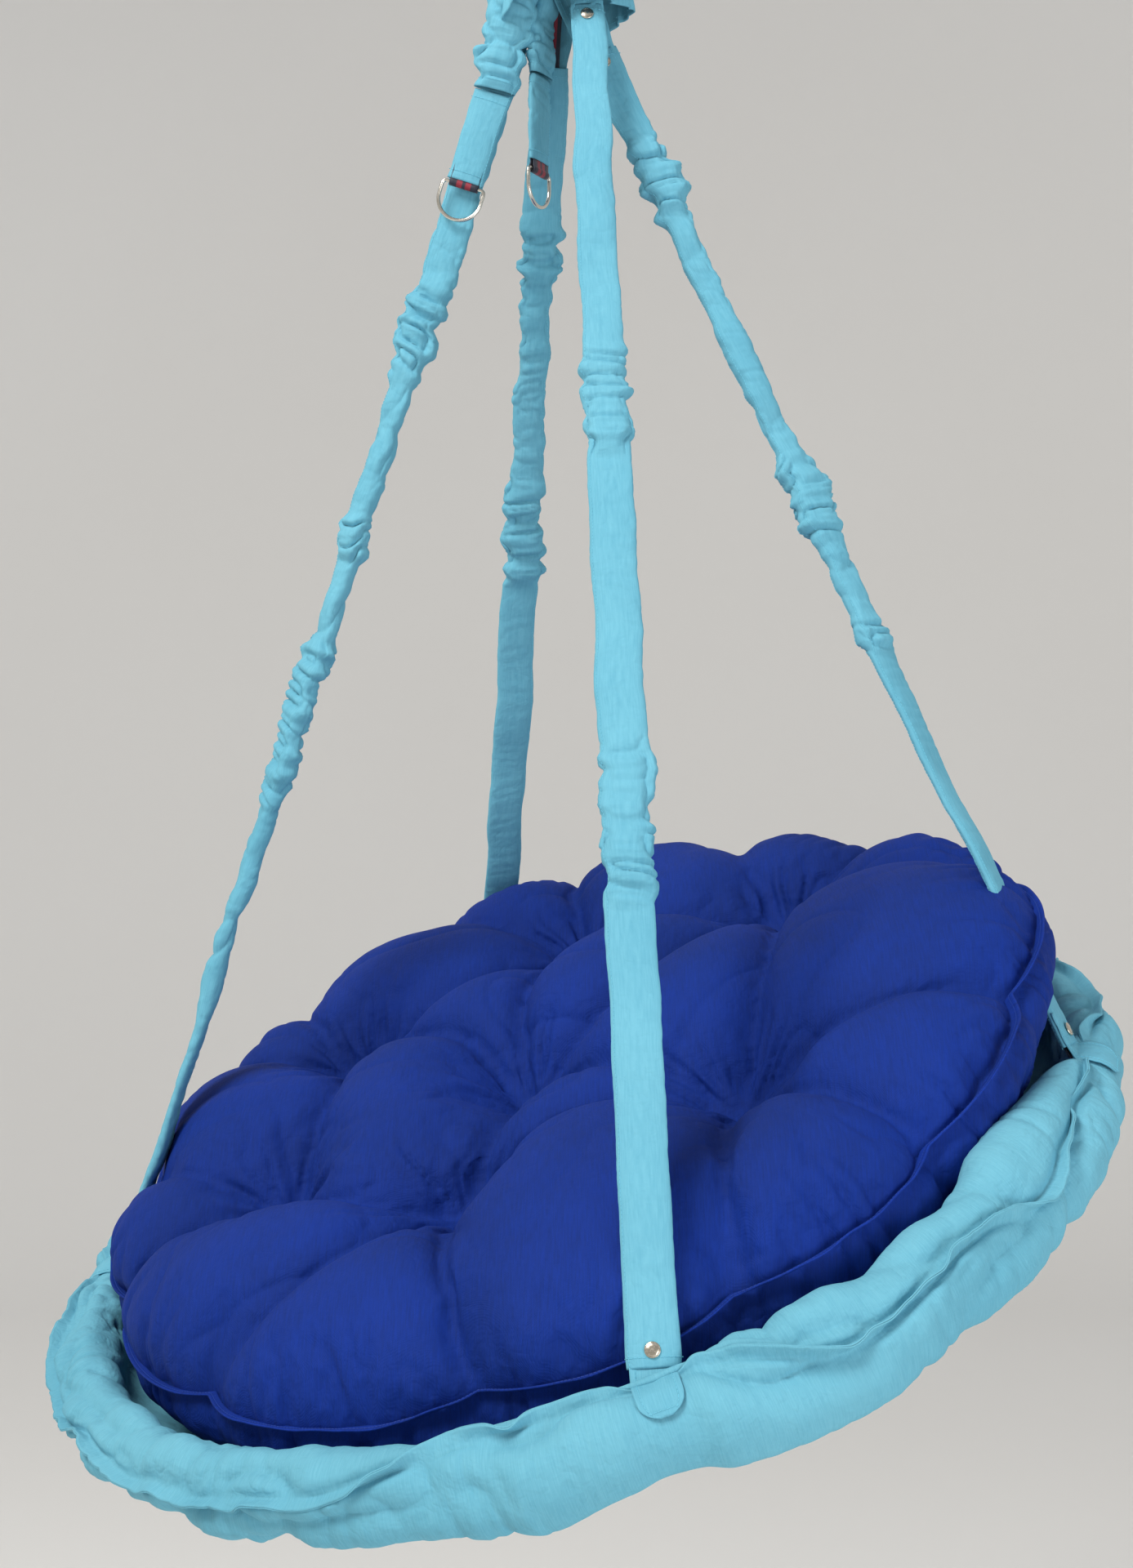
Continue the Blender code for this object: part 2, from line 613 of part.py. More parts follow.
def build_bar_ring(name, width, height, wire, placing, bow_up=True):
    """A D-shaped ring: a straight bar of the given inside width and a round bow."""
    half = width / 2 + wire
    sign = 1 if bow_up else -1
    corner = wire * 1.2
    path = [Vector((-half + corner, 0, 0)), Vector((half - corner, 0, 0)),
            Vector((half - corner * 0.25, 0, sign * corner * 0.3)), Vector((half, 0, sign * corner))]
    shoulder = max(height - half, corner * 1.5)
    rise = height - shoulder
    path += [Vector((half * math.cos(a), 0, sign * (shoulder + rise * math.sin(a))))
             for a in (math.pi * k / 12 for k in range(0, 13))]
    path += [Vector((-half, 0, sign * corner)),
             Vector((-half + corner * 0.25, 0, sign * corner * 0.3))]
    place_object(name, wire_loop(path, wire, 8, "ring"), steel(), placing, smooth=50)


def build_top_cover(lines):
    """A small gathered skirt of cloth that hides the ring, the hook and the webbing eyes."""
    wall = TOP_COVER_WALL
    high, low = APEX.z + TOP_COVER_ABOVE, APEX.z - TOP_COVER_BELOW
    places = [line.point((low - line.foot.z) / line.up.z) for line in lines.values()]
    skirt = max(math.hypot(place.x, place.y) for place in places)
    skirt += TONGUE_WIDTH / 2 + TOP_COVER_ROOM
    outer = []
    for k in range(5):
        share = k / 4
        bulge = 0.004 * math.sin(math.pi * share)
        radius = TOP_COVER_NECK + (skirt - TOP_COVER_NECK) * share + bulge
        outer.append((radius, high + (low - high) * share))
    inner = [(radius - wall, height) for radius, height in reversed(outer)]
    place_object("top_cover", turned(outer + inner, 24, "top_cover"), turquoise(), smooth=60)


# ---------------------------------------------------------------- tilt tabs and their D-rings
def build_tab(name, seam, up, out):
    """A doubled cloth and webbing tab, sewn at its top, with a D-ring in its lower eye.

    Its own frame has the sewn edge at the origin, hangs down -Z and faces -Y.
    """
    across = up.cross(out).normalized()
    frame = frame_matrix(-across, -out, up, seam)
    eye = DRING_WIRE + GAP * 2 + TAB_THICK / 2
    reach = eye * 1.7
    bar_z = -TAB_LENGTH - eye
    sideways = Vector((1, 0, 0))
    places = [(aside, bar_z + along) for along, aside in teardrop(eye, reach, 10)]
    places += [(0.0, bar_z + reach + TAB_THICK), (0.0, -TAB_LENGTH / 2), (0.0, 0.0)]
    stations = []
    for k, (y, z) in enumerate(places):
        before = places[max(k - 1, 0)]
        after = places[min(k + 1, len(places) - 1)]
        along = Vector((0, after[0] - before[0], after[1] - before[1])).normalized()
        stations.append((Vector((0, y, z)), sideways, along.cross(sideways).normalized()))
    place_object(name, ribbon(stations, TAB_WIDTH, TAB_THICK, "tab"), turquoise(), frame)
    bar = frame @ Matrix.Translation((0, 0, bar_z))
    build_bar_ring(name.replace("tab", "d_ring"), DRING_WIDTH, DRING_HEIGHT, DRING_WIRE, bar,
                   bow_up=False)


def build_tabs(left_line):
    height = left_line.length - TAB_LEFT_AT
    seam = left_line.point(height, WALL_FROM + SLEEVE_WALL + TAB_CLEAR)
    build_tab("tab_left", seam, left_line.up, left_line.out(height))
    seam = Vector((*TAB_BACK_PLACE, APEX.z - TAB_BACK_DROP))
    out = Vector((math.sin(TAB_BACK_TURN), -math.cos(TAB_BACK_TURN), 0))
    build_tab("tab_back", seam, Vector((0, 0, 1)), out)


# ---------------------------------------------------------------- hoop, foam and cover
def ring_section(turn, radius, sides):
    """The section of a pipe on the hoop's circle, in the hoop's own frame."""
    away = Vector((math.cos(turn), math.sin(turn), 0))
    places = [2 * math.pi * (s + 0.5) / sides for s in range(sides)]
    return [away * (HOOP_RADIUS + radius * math.cos(a)) + Vector((0, 0, radius * math.sin(a)))
            for a in places]


def ring_arc(name, start, end, steps):
    """One length of foam pipe with an open bore, bent to the hoop between two angles."""
    turns = [start + (end - start) * k / steps for k in range(steps + 1)]
    outside = [ring_section(turn, FOAM_RADIUS, FOAM_SIDES) for turn in turns]
    bore = HOOP_TUBE + FOAM_BORE_CLEARANCE
    inside = [ring_section(turn, bore, FOAM_SIDES) for turn in turns]
    place_object(name, hollow_sweep(outside, inside, name), foam(), SEAT_FRAME, smooth=50)


def build_hoop(lines):
    """The closed steel hoop, and the foam pipe in four lengths between the slings' feet."""
    turns = [2 * math.pi * k / HOOP_SEGMENTS for k in range(HOOP_SEGMENTS)]
    shape = bmesh.new()
    skin_loops(shape, [ring_section(turn, HOOP_TUBE, HOOP_SIDES) for turn in turns], ring=True)
    place_object("hoop_tube", mesh_from(shape, "hoop"), painted(), SEAT_FRAME, smooth=50)
    gap = (WEB_WIDTH / 2 + FOAM_GAP) / HOOP_RADIUS
    angles = {}
    for name, line in lines.items():
        aside = (line.beside_foot(FOOT_REACH) - line.foot).dot(HOOP_NORMAL.cross(line.radial))
        angles[name] = (SLINGS[name][0] + aside / HOOP_RADIUS) % (2 * math.pi)
    order = sorted(angles, key=lambda n: angles[n])
    for name, following in zip(order, order[1:] + order[:1]):
        start = angles[name] + gap
        end = angles[following] - gap
        if end < start:
            end += 2 * math.pi
        steps = max(6, round((end - start) / (2 * math.pi) * HOOP_SEGMENTS))
        ring_arc(f"foam_{name}_to_{following}", start, end, steps)


def bowl_height(radius):
    """Height of the seat cloth's middle, which hangs steeply at the rim and flat inside."""
    rim = HOOP_RADIUS - COVER_INSIDE * 0.9
    share = min(1.0, radius / rim)
    depth = (1 - share ** 4) ** 0.5
    rim_height = -COVER_INSIDE * 0.75
    return rim_height - (BOWL_DEPTH + rim_height) * depth


def thick_line(points, wall):
    """Offset a line of (radius, height) points to both sides and close it."""
    left, right = [], []
    for k, (r, z) in enumerate(points):
        r0, z0 = points[max(k - 1, 0)]
        r1, z1 = points[min(k + 1, len(points) - 1)]
        along = Vector((r1 - r0, z1 - z0)).normalized()
        side = Vector((-along.y, along.x)) * (wall / 2)
        left.append((r + side.x, z + side.y))
        right.append((r - side.x, z - side.y))
    if points[-1][0] < 1e-9:
        left[-1] = (0.0, left[-1][1])
        right[-1] = (0.0, right[-1][1])
    return left + right[::-1]


def channel_arc(start, end, steps):
    """Points of the cover's wall round the foam, as (radius, height) in the hoop's frame."""
    middle = COVER_INSIDE + COVER_WALL / 2
    turns = [start + (end - start) * k / steps for k in range(steps + 1)]
    return [(HOOP_RADIUS + middle * math.cos(a), middle * math.sin(a)) for a in turns]


def build_cover(lines):
    """Outer panel with its sewn ridge, and the seat cloth from the ridge down to the middle."""
    outer = channel_arc(COVER_LIP_AT, COVER_OUTER_END, 9)
    out, up = math.cos(COVER_LIP_RISE), math.sin(COVER_LIP_RISE)
    root = outer[0]
    ridge = [(root[0] + COVER_LIP * s * out, root[1] + COVER_LIP * s * up) for s in (1.0, 0.5)]
    place_object("rim_cover", turned(thick_line(ridge + outer, COVER_WALL), HOOP_SEGMENTS, "rim"),
                 turquoise(), SEAT_FRAME, smooth=50)
    line = channel_arc(COVER_LIP_AT + COVER_SEAM_GAP, COVER_CLOTH_AT, 9)
    foot = line[-1]
    for share in (0.985, 0.955, 0.9, 0.8, 0.62, 0.35, 0.0):
        radius = foot[0] * share
        height = bowl_height(radius) + (foot[1] - bowl_height(foot[0])) * share ** 8
        line.append((radius, height))
    cloth = place_object("seat_cloth", turned(thick_line(line, COVER_WALL), HOOP_SEGMENTS, "seat"),
                         turquoise(), SEAT_FRAME, smooth=50)
    for sling in lines.values():
        slot = bmesh.new()
        bmesh.ops.create_cube(slot, size=1.0)
        size = (WEB_WIDTH + COVER_SLOT_ROOM * 2, COVER_SLOT_HEIGHT, COVER_SLOT_DEPTH)
        bmesh.ops.scale(slot, verts=slot.verts, vec=size)
        side = sling.foot_along.cross(sling.tangent)
        place = sling.beside_foot(COVER_OUTSIDE) + sling.foot_along * COVER_OUTSIDE
        matrix = frame_matrix(sling.tangent, side, sling.foot_along, place)
        tool = hide_tool(place_object("cloth_slot_" + sling.name, mesh_from(slot, "slot"), None,
                                      matrix))
        boolean(cloth, tool)


# ---------------------------------------------------------------- cushion
def cushion_frame():
    towards = Vector((math.cos(CUSHION_TIP_FROM), math.sin(CUSHION_TIP_FROM), 0))
    axis = Vector((towards.y, -towards.x, 0))
    tip = Matrix.Rotation(CUSHION_TIP, 4, axis)
    place = towards * CUSHION_SHIFT + Vector((0, 0, CUSHION_SEAM_HEIGHT))
    return SEAT_FRAME @ Matrix.Translation(place) @ tip


def crown_height(radius):
    """The cushion's top above its seam: highest over the outer lobes, lower in the middle."""
    share = radius / CUSHION_RADIUS
    edge = math.sqrt(max(0.0, 1 - share ** 6))
    dish = 0.72 + 0.28 * math.sin(min(1.0, share / 0.62) * math.pi / 2)
    return CUSHION_CROWN * edge * dish


def build_cushion(lines):
    """A round box-edge cushion, dished and pitted at its tufts, dented where slings press it."""
    top = [(CUSHION_RADIUS * s, crown_height(CUSHION_RADIUS * s))
           for s in (0.0, 0.15, 0.3, 0.45, 0.6, 0.72, 0.84, 0.92, 0.97)]
    side = [(CUSHION_RADIUS, -0.004), (CUSHION_RADIUS + 0.003, -CUSHION_GUSSET * 0.3),
            (CUSHION_RADIUS - 0.009, -CUSHION_GUSSET * 0.7),
            (CUSHION_FOOT_RADIUS, -CUSHION_GUSSET)]
    foot = [(CUSHION_FOOT_RADIUS * s, -CUSHION_GUSSET - CUSHION_BELLY * math.sqrt(1 - s ** 4))
            for s in (0.94, 0.84, 0.6, 0.3, 0.0)]
    frame = cushion_frame()
    mesh = turned(top + side + foot, CUSHION_SEGMENTS, "cushion")
    cushion = place_object("cushion", mesh, royal_blue(), frame, smooth=60)
    for name, line in lines.items():
        low, high = BACK_WALL_FROM - SLING_CLEARANCE, CUSHION_RADIUS * 0.3
        width = SLEEVE_WIDTH / 2 + SLING_CLEARANCE
        sections = [line.section(h, width, low, high) for h in (0.03, 0.12, 0.2, 0.3, 0.36)]
        tool = hide_tool(place_object("dent_" + name, solid_sweep(sections, "dent"), None))
        boolean(cushion, tool)
    places = [(radius * math.cos(math.radians(turn)), radius * math.sin(math.radians(turn)))
              for radius, turn in TUFTS]
    rise = CUSHION_CROWN + 0.02
    pit = [(0, TUFT_PIT_FLOOR), (TUFT_PIT_FOOT, TUFT_PIT_FLOOR), (TUFT_PIT_TOP, rise), (0, rise)]
    button = [(0, GAP * 2), (BUTTON_RADIUS * 0.8, GAP * 2), (BUTTON_RADIUS, BUTTON_THICK * 0.5),
              (BUTTON_RADIUS * 0.7, BUTTON_THICK * 0.9), (0, BUTTON_THICK)]
    for k, (x, y) in enumerate(places):
        spot = frame @ Matrix.Translation((x, y, 0))
        tool = hide_tool(place_object(f"tuft_pit_{k}", turned(pit, 16, "pit"), None, spot))
        boolean(cushion, tool)
        seat = spot @ Matrix.Translation((0, 0, TUFT_PIT_FLOOR))
        place_object(f"tuft_button_{k}", turned(button, 14, "button"), royal_blue(), seat,
                     smooth=50)


# ---------------------------------------------------------------- assembly
clear_scene()
build_hook("hang_hook", HOOK_LENGTH, HOOK_WIDTH, HOOK_WIRE, 0.0, math.pi / 2)
build_bar_ring("hang_ring", RING_WIDTH, RING_HEIGHT, RING_WIRE, Matrix.Translation(APEX))
build_hook("tilt_hook", TILT_HOOK_LENGTH, TILT_HOOK_WIDTH, TILT_HOOK_WIRE, TILT_HOOK_TOP_Z,
           math.pi / 2)
build_bar_ring("rear_ring", REAR_RING_WIDTH, REAR_RING_HEIGHT, REAR_RING_WIRE,
               Matrix.Translation(REAR_APEX))
sling_lines = {name: SlingLine(name) for name in SLINGS}
build_top_cover(sling_lines)
for sling_line in sling_lines.values():
    build_sling(sling_line)
    build_sleeve(sling_line)
    build_studs(sling_line)
    build_tongues(sling_line)
build_tabs(sling_lines["left"])
build_hoop(sling_lines)
build_cover(sling_lines)
build_cushion(sling_lines)
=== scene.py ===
"""Saucer nest swing: the looks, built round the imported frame.  Metres, +Z up, seen from -Y."""

import math

import bmesh
import bpy
import numpy as np
from mathutils import Matrix, Vector


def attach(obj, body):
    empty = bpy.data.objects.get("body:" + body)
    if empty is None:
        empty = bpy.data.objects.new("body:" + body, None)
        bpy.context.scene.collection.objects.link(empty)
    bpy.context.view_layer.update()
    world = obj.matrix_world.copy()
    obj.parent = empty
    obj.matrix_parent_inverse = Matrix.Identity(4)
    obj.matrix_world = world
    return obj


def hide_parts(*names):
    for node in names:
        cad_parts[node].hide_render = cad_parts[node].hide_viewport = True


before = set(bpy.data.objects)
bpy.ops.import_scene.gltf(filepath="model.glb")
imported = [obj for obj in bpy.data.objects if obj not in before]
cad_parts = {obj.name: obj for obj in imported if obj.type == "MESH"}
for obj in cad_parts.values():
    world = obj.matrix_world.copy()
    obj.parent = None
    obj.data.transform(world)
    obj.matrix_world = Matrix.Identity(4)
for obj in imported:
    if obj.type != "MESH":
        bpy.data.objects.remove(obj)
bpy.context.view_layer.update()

# ---------------------------------------------------------------- camera
# Stands in front of the swing at the height of the cushion's back and looks slightly up, so
# that the slings fill the frame's upper half and leave it at the top.
camera = bpy.data.objects.new("camera", bpy.data.cameras.new("camera"))
bpy.context.scene.collection.objects.link(camera)
camera.data.sensor_fit = 'AUTO'
camera.data.sensor_width = 36.0
camera.data.lens = 50.8
camera.location = (0.016, -2.286, -1.088)
camera.rotation_mode = 'QUATERNION'
camera.rotation_quaternion = Vector((-0.00604, 0.99924, 0.03846)).to_track_quat('-Z', 'Y')
bpy.context.scene.camera = camera

# ---------------------------------------------------------------- studio
# A pale floor that curves up into a round wall of the same matt paper, lit by two large soft
# boxes and a low even fill.
FLOOR_Z = -2.45
STUDIO_RADIUS = 7.5
STUDIO_COVE = 2.6
STUDIO_HEIGHT = 9.0


def linear(colour):
    """An sRGB hex colour as linear red, green, blue and alpha."""
    parts = [int(colour[i:i + 2], 16) / 255 for i in (0, 2, 4)]
    return (*[c / 12.92 if c <= 0.04045 else ((c + 0.055) / 1.055) ** 2.4 for c in parts], 1.0)


def add(tree, kind, inputs=(), **settings):
    """Adds one node.  Settings are its properties; inputs are values, or sockets to link."""
    made = tree.nodes.new(kind)
    for key, value in settings.items():
        setattr(made, key, value)
    for key, value in dict(inputs).items():
        if isinstance(value, bpy.types.NodeSocket):
            tree.links.new(value, made.inputs[key])
        else:
            made.inputs[key].default_value = value
    return made


def new_material(name):
    made = bpy.data.materials.new(name)
    made.use_nodes = True
    made.node_tree.nodes.clear()
    return made, made.node_tree


def two_tones(tree, share, low, high):
    """A colour between two hex colours, by a value from 0 to 1."""
    made = add(tree, 'ShaderNodeMix', {0: share, 6: linear(low), 7: linear(high)},
               data_type='RGBA')
    return made.outputs[2]


def shade(tree, inputs):
    body = add(tree, 'ShaderNodeBsdfPrincipled', inputs)
    add(tree, 'ShaderNodeOutputMaterial', {"Surface": body.outputs["BSDF"]})


def skin(name, grid, wrap_rows=False, wrap_columns=False, flat=None):
    """Quads over rows and columns of points; flat is each point's place on the uncut cloth.

    Where columns close on themselves, flat has one column more than the points have.
    """
    rows, columns = grid.shape[:2]
    r = np.arange(rows if wrap_rows else rows - 1)[:, None]
    c = np.arange(columns if wrap_columns else columns - 1)[None, :]
    r_next, c_next = (r + 1) % rows, (c + 1) % columns
    corners = [r * columns + c, r * columns + c_next, r_next * columns + c_next,
               r_next * columns + c]
    faces = np.stack(corners, -1).reshape(-1, 4)
    mesh = bpy.data.meshes.new(name)
    mesh.from_pydata(grid.reshape(-1, 3).tolist(), [], faces.tolist())
    if flat is not None:
        corners = [flat[r, c], flat[r, c + 1], flat[r + 1, c + 1], flat[r + 1, c]]
        layer = mesh.uv_layers.new(name="cloth")
        layer.data.foreach_set("uv", np.stack(corners, -2).reshape(-1).astype(np.float32))
    mesh.shade_smooth()
    made = bpy.data.objects.new(name, mesh)
    bpy.context.scene.collection.objects.link(made)
    return made


def studio_paper():
    made, tree = new_material("matt_background_paper")
    place = add(tree, 'ShaderNodeTexCoord').outputs["Object"]
    cloud = add(tree, 'ShaderNodeTexNoise', {"Vector": place, "Scale": 0.35, "Detail": 2.0})
    shade(tree, {"Base Color": two_tones(tree, cloud.outputs["Fac"], "E2E0DD", "E9E8E6"),
                 "Roughness": 0.95})
    return made


studio_profile = [(0.0, FLOOR_Z), (1.5, FLOOR_Z), (3.4, FLOOR_Z)]
for step in range(13):
    turn = math.pi / 2 * step / 12
    studio_profile.append((STUDIO_RADIUS - STUDIO_COVE * (1 - math.sin(turn)),
                           FLOOR_Z + STUDIO_COVE * (1 - math.cos(turn))))
studio_profile.append((STUDIO_RADIUS, FLOOR_Z + STUDIO_HEIGHT))
turns = np.linspace(0, 2 * math.pi, 97)[:-1]
radii, heights = np.array(studio_profile).T
studio = skin("studio", np.stack([radii[:, None] * np.cos(turns), radii[:, None] * np.sin(turns),
                                  heights[:, None] + 0 * turns], -1), wrap_columns=True)
studio.data.materials.append(studio_paper())


def soft_box(name, place, towards, size, watts, colour):
    lamp = bpy.data.lights.new(name, 'AREA')
    lamp.shape = 'RECTANGLE'
    lamp.size, lamp.size_y = size
    lamp.energy = watts
    lamp.color = linear(colour)[:3]
    made = bpy.data.objects.new(name, lamp)
    bpy.context.scene.collection.objects.link(made)
    made.location = place
    made.rotation_mode = 'QUATERNION'
    made.rotation_quaternion = (Vector(towards) - Vector(place)).to_track_quat('-Z', 'Y')


soft_box("key_window", (-2.3, -2.4, 2.5), (0, 0, -1.2), (1.7, 2.0), 240, "FFFDF8")
soft_box("fill_window", (2.2, -3.2, -1.7), (0, 0, -1.35), (2.0, 2.0), 75, "F6FAFF")
world = bpy.data.worlds.new("room")
bpy.context.scene.world = world
world.use_nodes = True
world.node_tree.nodes["Background"].inputs["Color"].default_value = linear("F4F6FA")
world.node_tree.nodes["Background"].inputs["Strength"].default_value = 0.58
bpy.context.scene.view_settings.view_transform = 'Standard'

# ---------------------------------------------------------------- hanging hooks and rings
# A bright oval snap hook hangs from the eye above.  It holds a wide wire ring for the front and
# left slings, and a smaller hook joins a second ring for the back and right ones.
METAL_NODES = ["hang_hook", "hang_hook_gate", "hang_hook_pin", "tilt_hook", "tilt_hook_gate",
               "tilt_hook_pin"]
RING_NODES = ["hang_ring", "rear_ring"]


def nickel_plated_steel(name, low, high, wear):
    """Bright plating with fine handling marks that break its shine up a little."""
    made, tree = new_material(name)
    place = add(tree, 'ShaderNodeTexCoord').outputs["Object"]
    marks = add(tree, 'ShaderNodeTexNoise', {"Vector": place, "Scale": 420.0, "Detail": 4.0})
    cloud = add(tree, 'ShaderNodeTexNoise', {"Vector": place, "Scale": 60.0, "Detail": 3.0})
    rough = add(tree, 'ShaderNodeMapRange', {"Value": marks.outputs["Fac"], 1: 0.35, 2: 0.75,
                                             3: 0.16, 4: 0.16 + wear})
    bump = add(tree, 'ShaderNodeBump', {"Height": cloud.outputs["Fac"], "Strength": 0.15,
                                        "Distance": 0.0004})
    shade(tree, {"Base Color": two_tones(tree, cloud.outputs["Fac"], low, high),
                 "Metallic": 1.0, "Roughness": rough.outputs[0], "Normal": bump.outputs[0]})
    return made


def coat(node, material):
    """Puts a material on a CAD piece that is shown as it is."""
    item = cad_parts[node]
    item.data.materials.clear()
    item.data.materials.append(material)
    return item


nickel = nickel_plated_steel("nickel_plated_steel_bright", "C8C2B6", "E2DED6", 0.16)
for node in METAL_NODES + RING_NODES:
    coat(node, nickel)

# ---------------------------------------------------------------- hoop and its foam
# The seat's hoop is one closed steel tube with black paint, under four lengths of grey foam
# pipe that stop short of each sling's foot.


def painted_tube():
    made, tree = new_material("black_enamel_painted_tube")
    place = add(tree, 'ShaderNodeTexCoord').outputs["Object"]
    grain = add(tree, 'ShaderNodeTexNoise', {"Vector": place, "Scale": 300.0, "Detail": 2.0})
    bump = add(tree, 'ShaderNodeBump', {"Height": grain.outputs["Fac"], "Strength": 0.2,
                                        "Distance": 0.0003})
    shade(tree, {"Base Color": two_tones(tree, grain.outputs["Fac"], "151516", "1E1E20"),
                 "Roughness": 0.42, "Normal": bump.outputs[0]})
    return made


def grey_foam():
    made, tree = new_material("grey_foam_pipe_matt")
    place = add(tree, 'ShaderNodeTexCoord').outputs["Object"]
    cells = add(tree, 'ShaderNodeTexVoronoi', {"Vector": place, "Scale": 700.0})
    bump = add(tree, 'ShaderNodeBump', {"Height": cells.outputs["Distance"], "Strength": 0.5,
                                        "Distance": 0.0008})
    shade(tree, {"Base Color": two_tones(tree, cells.outputs["Distance"], "56565A", "717175"),
                 "Roughness": 0.92, "Normal": bump.outputs[0]})
    return made


coat("hoop_tube", painted_tube())
foam = grey_foam()
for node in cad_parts:
    if node.startswith("foam_"):
        coat(node, foam)


def hoop_frame():
    """The hoop's own frame, from its tube: +Z square to its plane, +X the swing's right."""
    points = np.array([v.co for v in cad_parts["hoop_tube"].data.vertices])
    points = np.unique(np.round(points, 5), axis=0)
    centre = points.mean(axis=0)
    normal = Vector(np.linalg.svd(points - centre)[2][2]).normalized()
    normal = normal if normal.z > 0 else -normal
    across = (Vector((1, 0, 0)) - normal * normal.x).normalized()
    made = Matrix((across, normal.cross(across), normal)).transposed().to_4x4()
    made.translation = Vector(centre)
    return made


def into(matrix, points):
    """Points of a piece's own frame as places in the row's frame."""
    turn = np.array(matrix.to_3x3())
    return points @ turn.T + np.array(matrix.translation)


hoop = hoop_frame()
HOOP_RADIUS = 0.525

# ---------------------------------------------------------------- slings
# Four lengths of navy webbing with two dark red stripes.  Each loops round the hoop, runs up
# inside its sleeve and folds narrower to loop round its ring's bar.
WEB_WIDTH = 0.030
WEB_THICK = 0.0019
APEX = np.array((0.0, 0.0, -0.1062))
REAR_APEX = np.array((0.0, 0.0, -0.1781))
FOOT_REACH = 0.031
TOP_REACH = 0.018
# name: angle round the hoop, place on its ring's bar, bar's radius, which way the top faces,
#       distance from the bar to the sleeve's upper hem
SLINGS = {
    "front": (277.0, APEX + (0.0195, 0, 0), 0.0035, -1, 0.098),
    "left": (173.8, APEX - (0.0195, 0, 0), 0.0035, -1, 0.120),
    "back": (102.6, REAR_APEX - (0.010, 0, 0), 0.003, 1, 0.067),
    "right": (343.9, REAR_APEX + (0.010, 0, 0), 0.003, -1, 0.067),
}


def unit(vector):
    return vector / np.linalg.norm(vector)


def ease(low, high, value):
    """0 below low, 1 above high and smooth between them."""
    share = np.clip((value - low) / (high - low), 0, 1)
    return share * share * (3 - 2 * share)


class Strap:
    """The straight run of one sling: where it is, and which way its webbing faces."""

    def __init__(self, angle, top, bar, faces, hem):
        self.angle, self.top, self.bar = math.radians(angle), top, bar
        axes = np.array(hoop.to_3x3())
        self.radial = axes[:, 0] * math.cos(self.angle) + axes[:, 1] * math.sin(self.angle)
        self.foot = np.array(hoop.translation) + self.radial * HOOP_RADIUS
        self.length = np.linalg.norm(top - self.foot)
        self.up = unit(top - self.foot)
        self.hem = self.length - hem
        top_out = np.array((0.0, faces, 0.0))
        top_out = unit(top_out - self.up * (top_out @ self.up))
        tangent = np.cross(axes[:, 2], self.radial)
        foot_out = unit(np.cross(tangent, self.up))
        if foot_out @ self.radial < 0:
            foot_out, tangent = -foot_out, -tangent
        self.foot_out, self.tangent = foot_out, tangent
        along = unit(np.cross(foot_out, tangent))
        self.foot_along = along if along @ self.up > 0 else -along
        self.slant = (self.up @ tangent) / (self.up @ self.foot_along)
        self.aside = np.cross(self.up, foot_out)
        self.turn = math.atan2(top_out @ self.aside, top_out @ foot_out)

    def out(self, height):
        turn = (self.turn * ease(0.12, 0.88, np.asarray(height) / self.length))[..., None]
        return np.cos(turn) * self.foot_out + np.sin(turn) * self.aside

    def across(self, height):
        return np.cross(self.up, self.out(height))

    def place(self, height, aside=0.0, outward=0.0):
        """Points at heights above the foot, beside the middle and out from the webbing."""
        height, aside, outward = np.broadcast_arrays(height, aside, outward)
        return (self.foot + self.up * height[..., None] + self.across(height) * aside[..., None]
                + self.out(height) * outward[..., None])


def eye(radius, reach, steps):
    """Half of a webbing eye, as places along the strap and aside: round a bar to the strap."""
    lean = math.acos(radius / reach)
    turns = np.linspace(lean, 2 * math.pi - lean, steps)
    arc = np.stack([radius * np.cos(turns), radius * np.sin(turns)], -1)
    tail = np.array([(arc[0, 0] + (reach - arc[0, 0]) * (1 - 0.0022 / arc[0, 1]), 0.0022)])
    return np.concatenate([tail, arc])


def sling_webbing(name, strap):
    """The webbing's middle line with its widths, as a thin band that gets its thickness live."""
    tangent = strap.tangent if strap.tangent @ strap.across(0.0) > 0 else -strap.tangent
    centre = strap.foot + strap.tangent * strap.slant * FOOT_REACH
    rows = [(centre + strap.foot_along * along - strap.foot_out * aside, tangent, WEB_WIDTH)
            for along, aside in eye(0.0165, FOOT_REACH, 26)]
    start = FOOT_REACH / (strap.up @ strap.foot_along)
    for height in np.arange(start, strap.length - TOP_REACH, 0.006):
        narrow = ease(strap.length - 0.088, strap.length - 0.062, height)
        rolled = ease(0.16, 0.30, height) * (1 - ease(strap.hem - 0.07, strap.hem - 0.03, height))
        rows.append((strap.place(height), strap.across(height),
                     WEB_WIDTH - 0.013 * max(narrow, rolled)))
    bar = np.array((1.0, 0, 0)) if strap.across(strap.length)[0] > 0 else np.array((-1.0, 0, 0))
    down = -unit(strap.up - bar * (strap.up @ bar))
    for along, aside in eye(strap.bar + 0.0016, TOP_REACH, 18)[::-1]:
        rows.append((strap.top + down * along + np.cross(down, bar) * aside, bar, 0.017))
    middle, across, width = (np.array(part) for part in zip(*rows))
    along = np.concatenate([[0], np.cumsum(np.linalg.norm(np.diff(middle, axis=0), axis=1))])
    share = np.linspace(-0.5, 0.5, 9)
    grid = middle[:, None] + across[:, None] * (width[:, None] * share)[..., None]
    flat = np.stack(np.broadcast_arrays(share * WEB_WIDTH, along[:, None]), -1)
    band = skin("webbing_" + name, grid, flat=flat)
    thicken(band, WEB_THICK)
    return band, along[-1]


def thicken(piece, thick, offset=0.0):
    change = piece.modifiers.new("thickness", 'SOLIDIFY')
    change.thickness, change.offset = thick, offset
    change.use_even_offset = False
    return piece


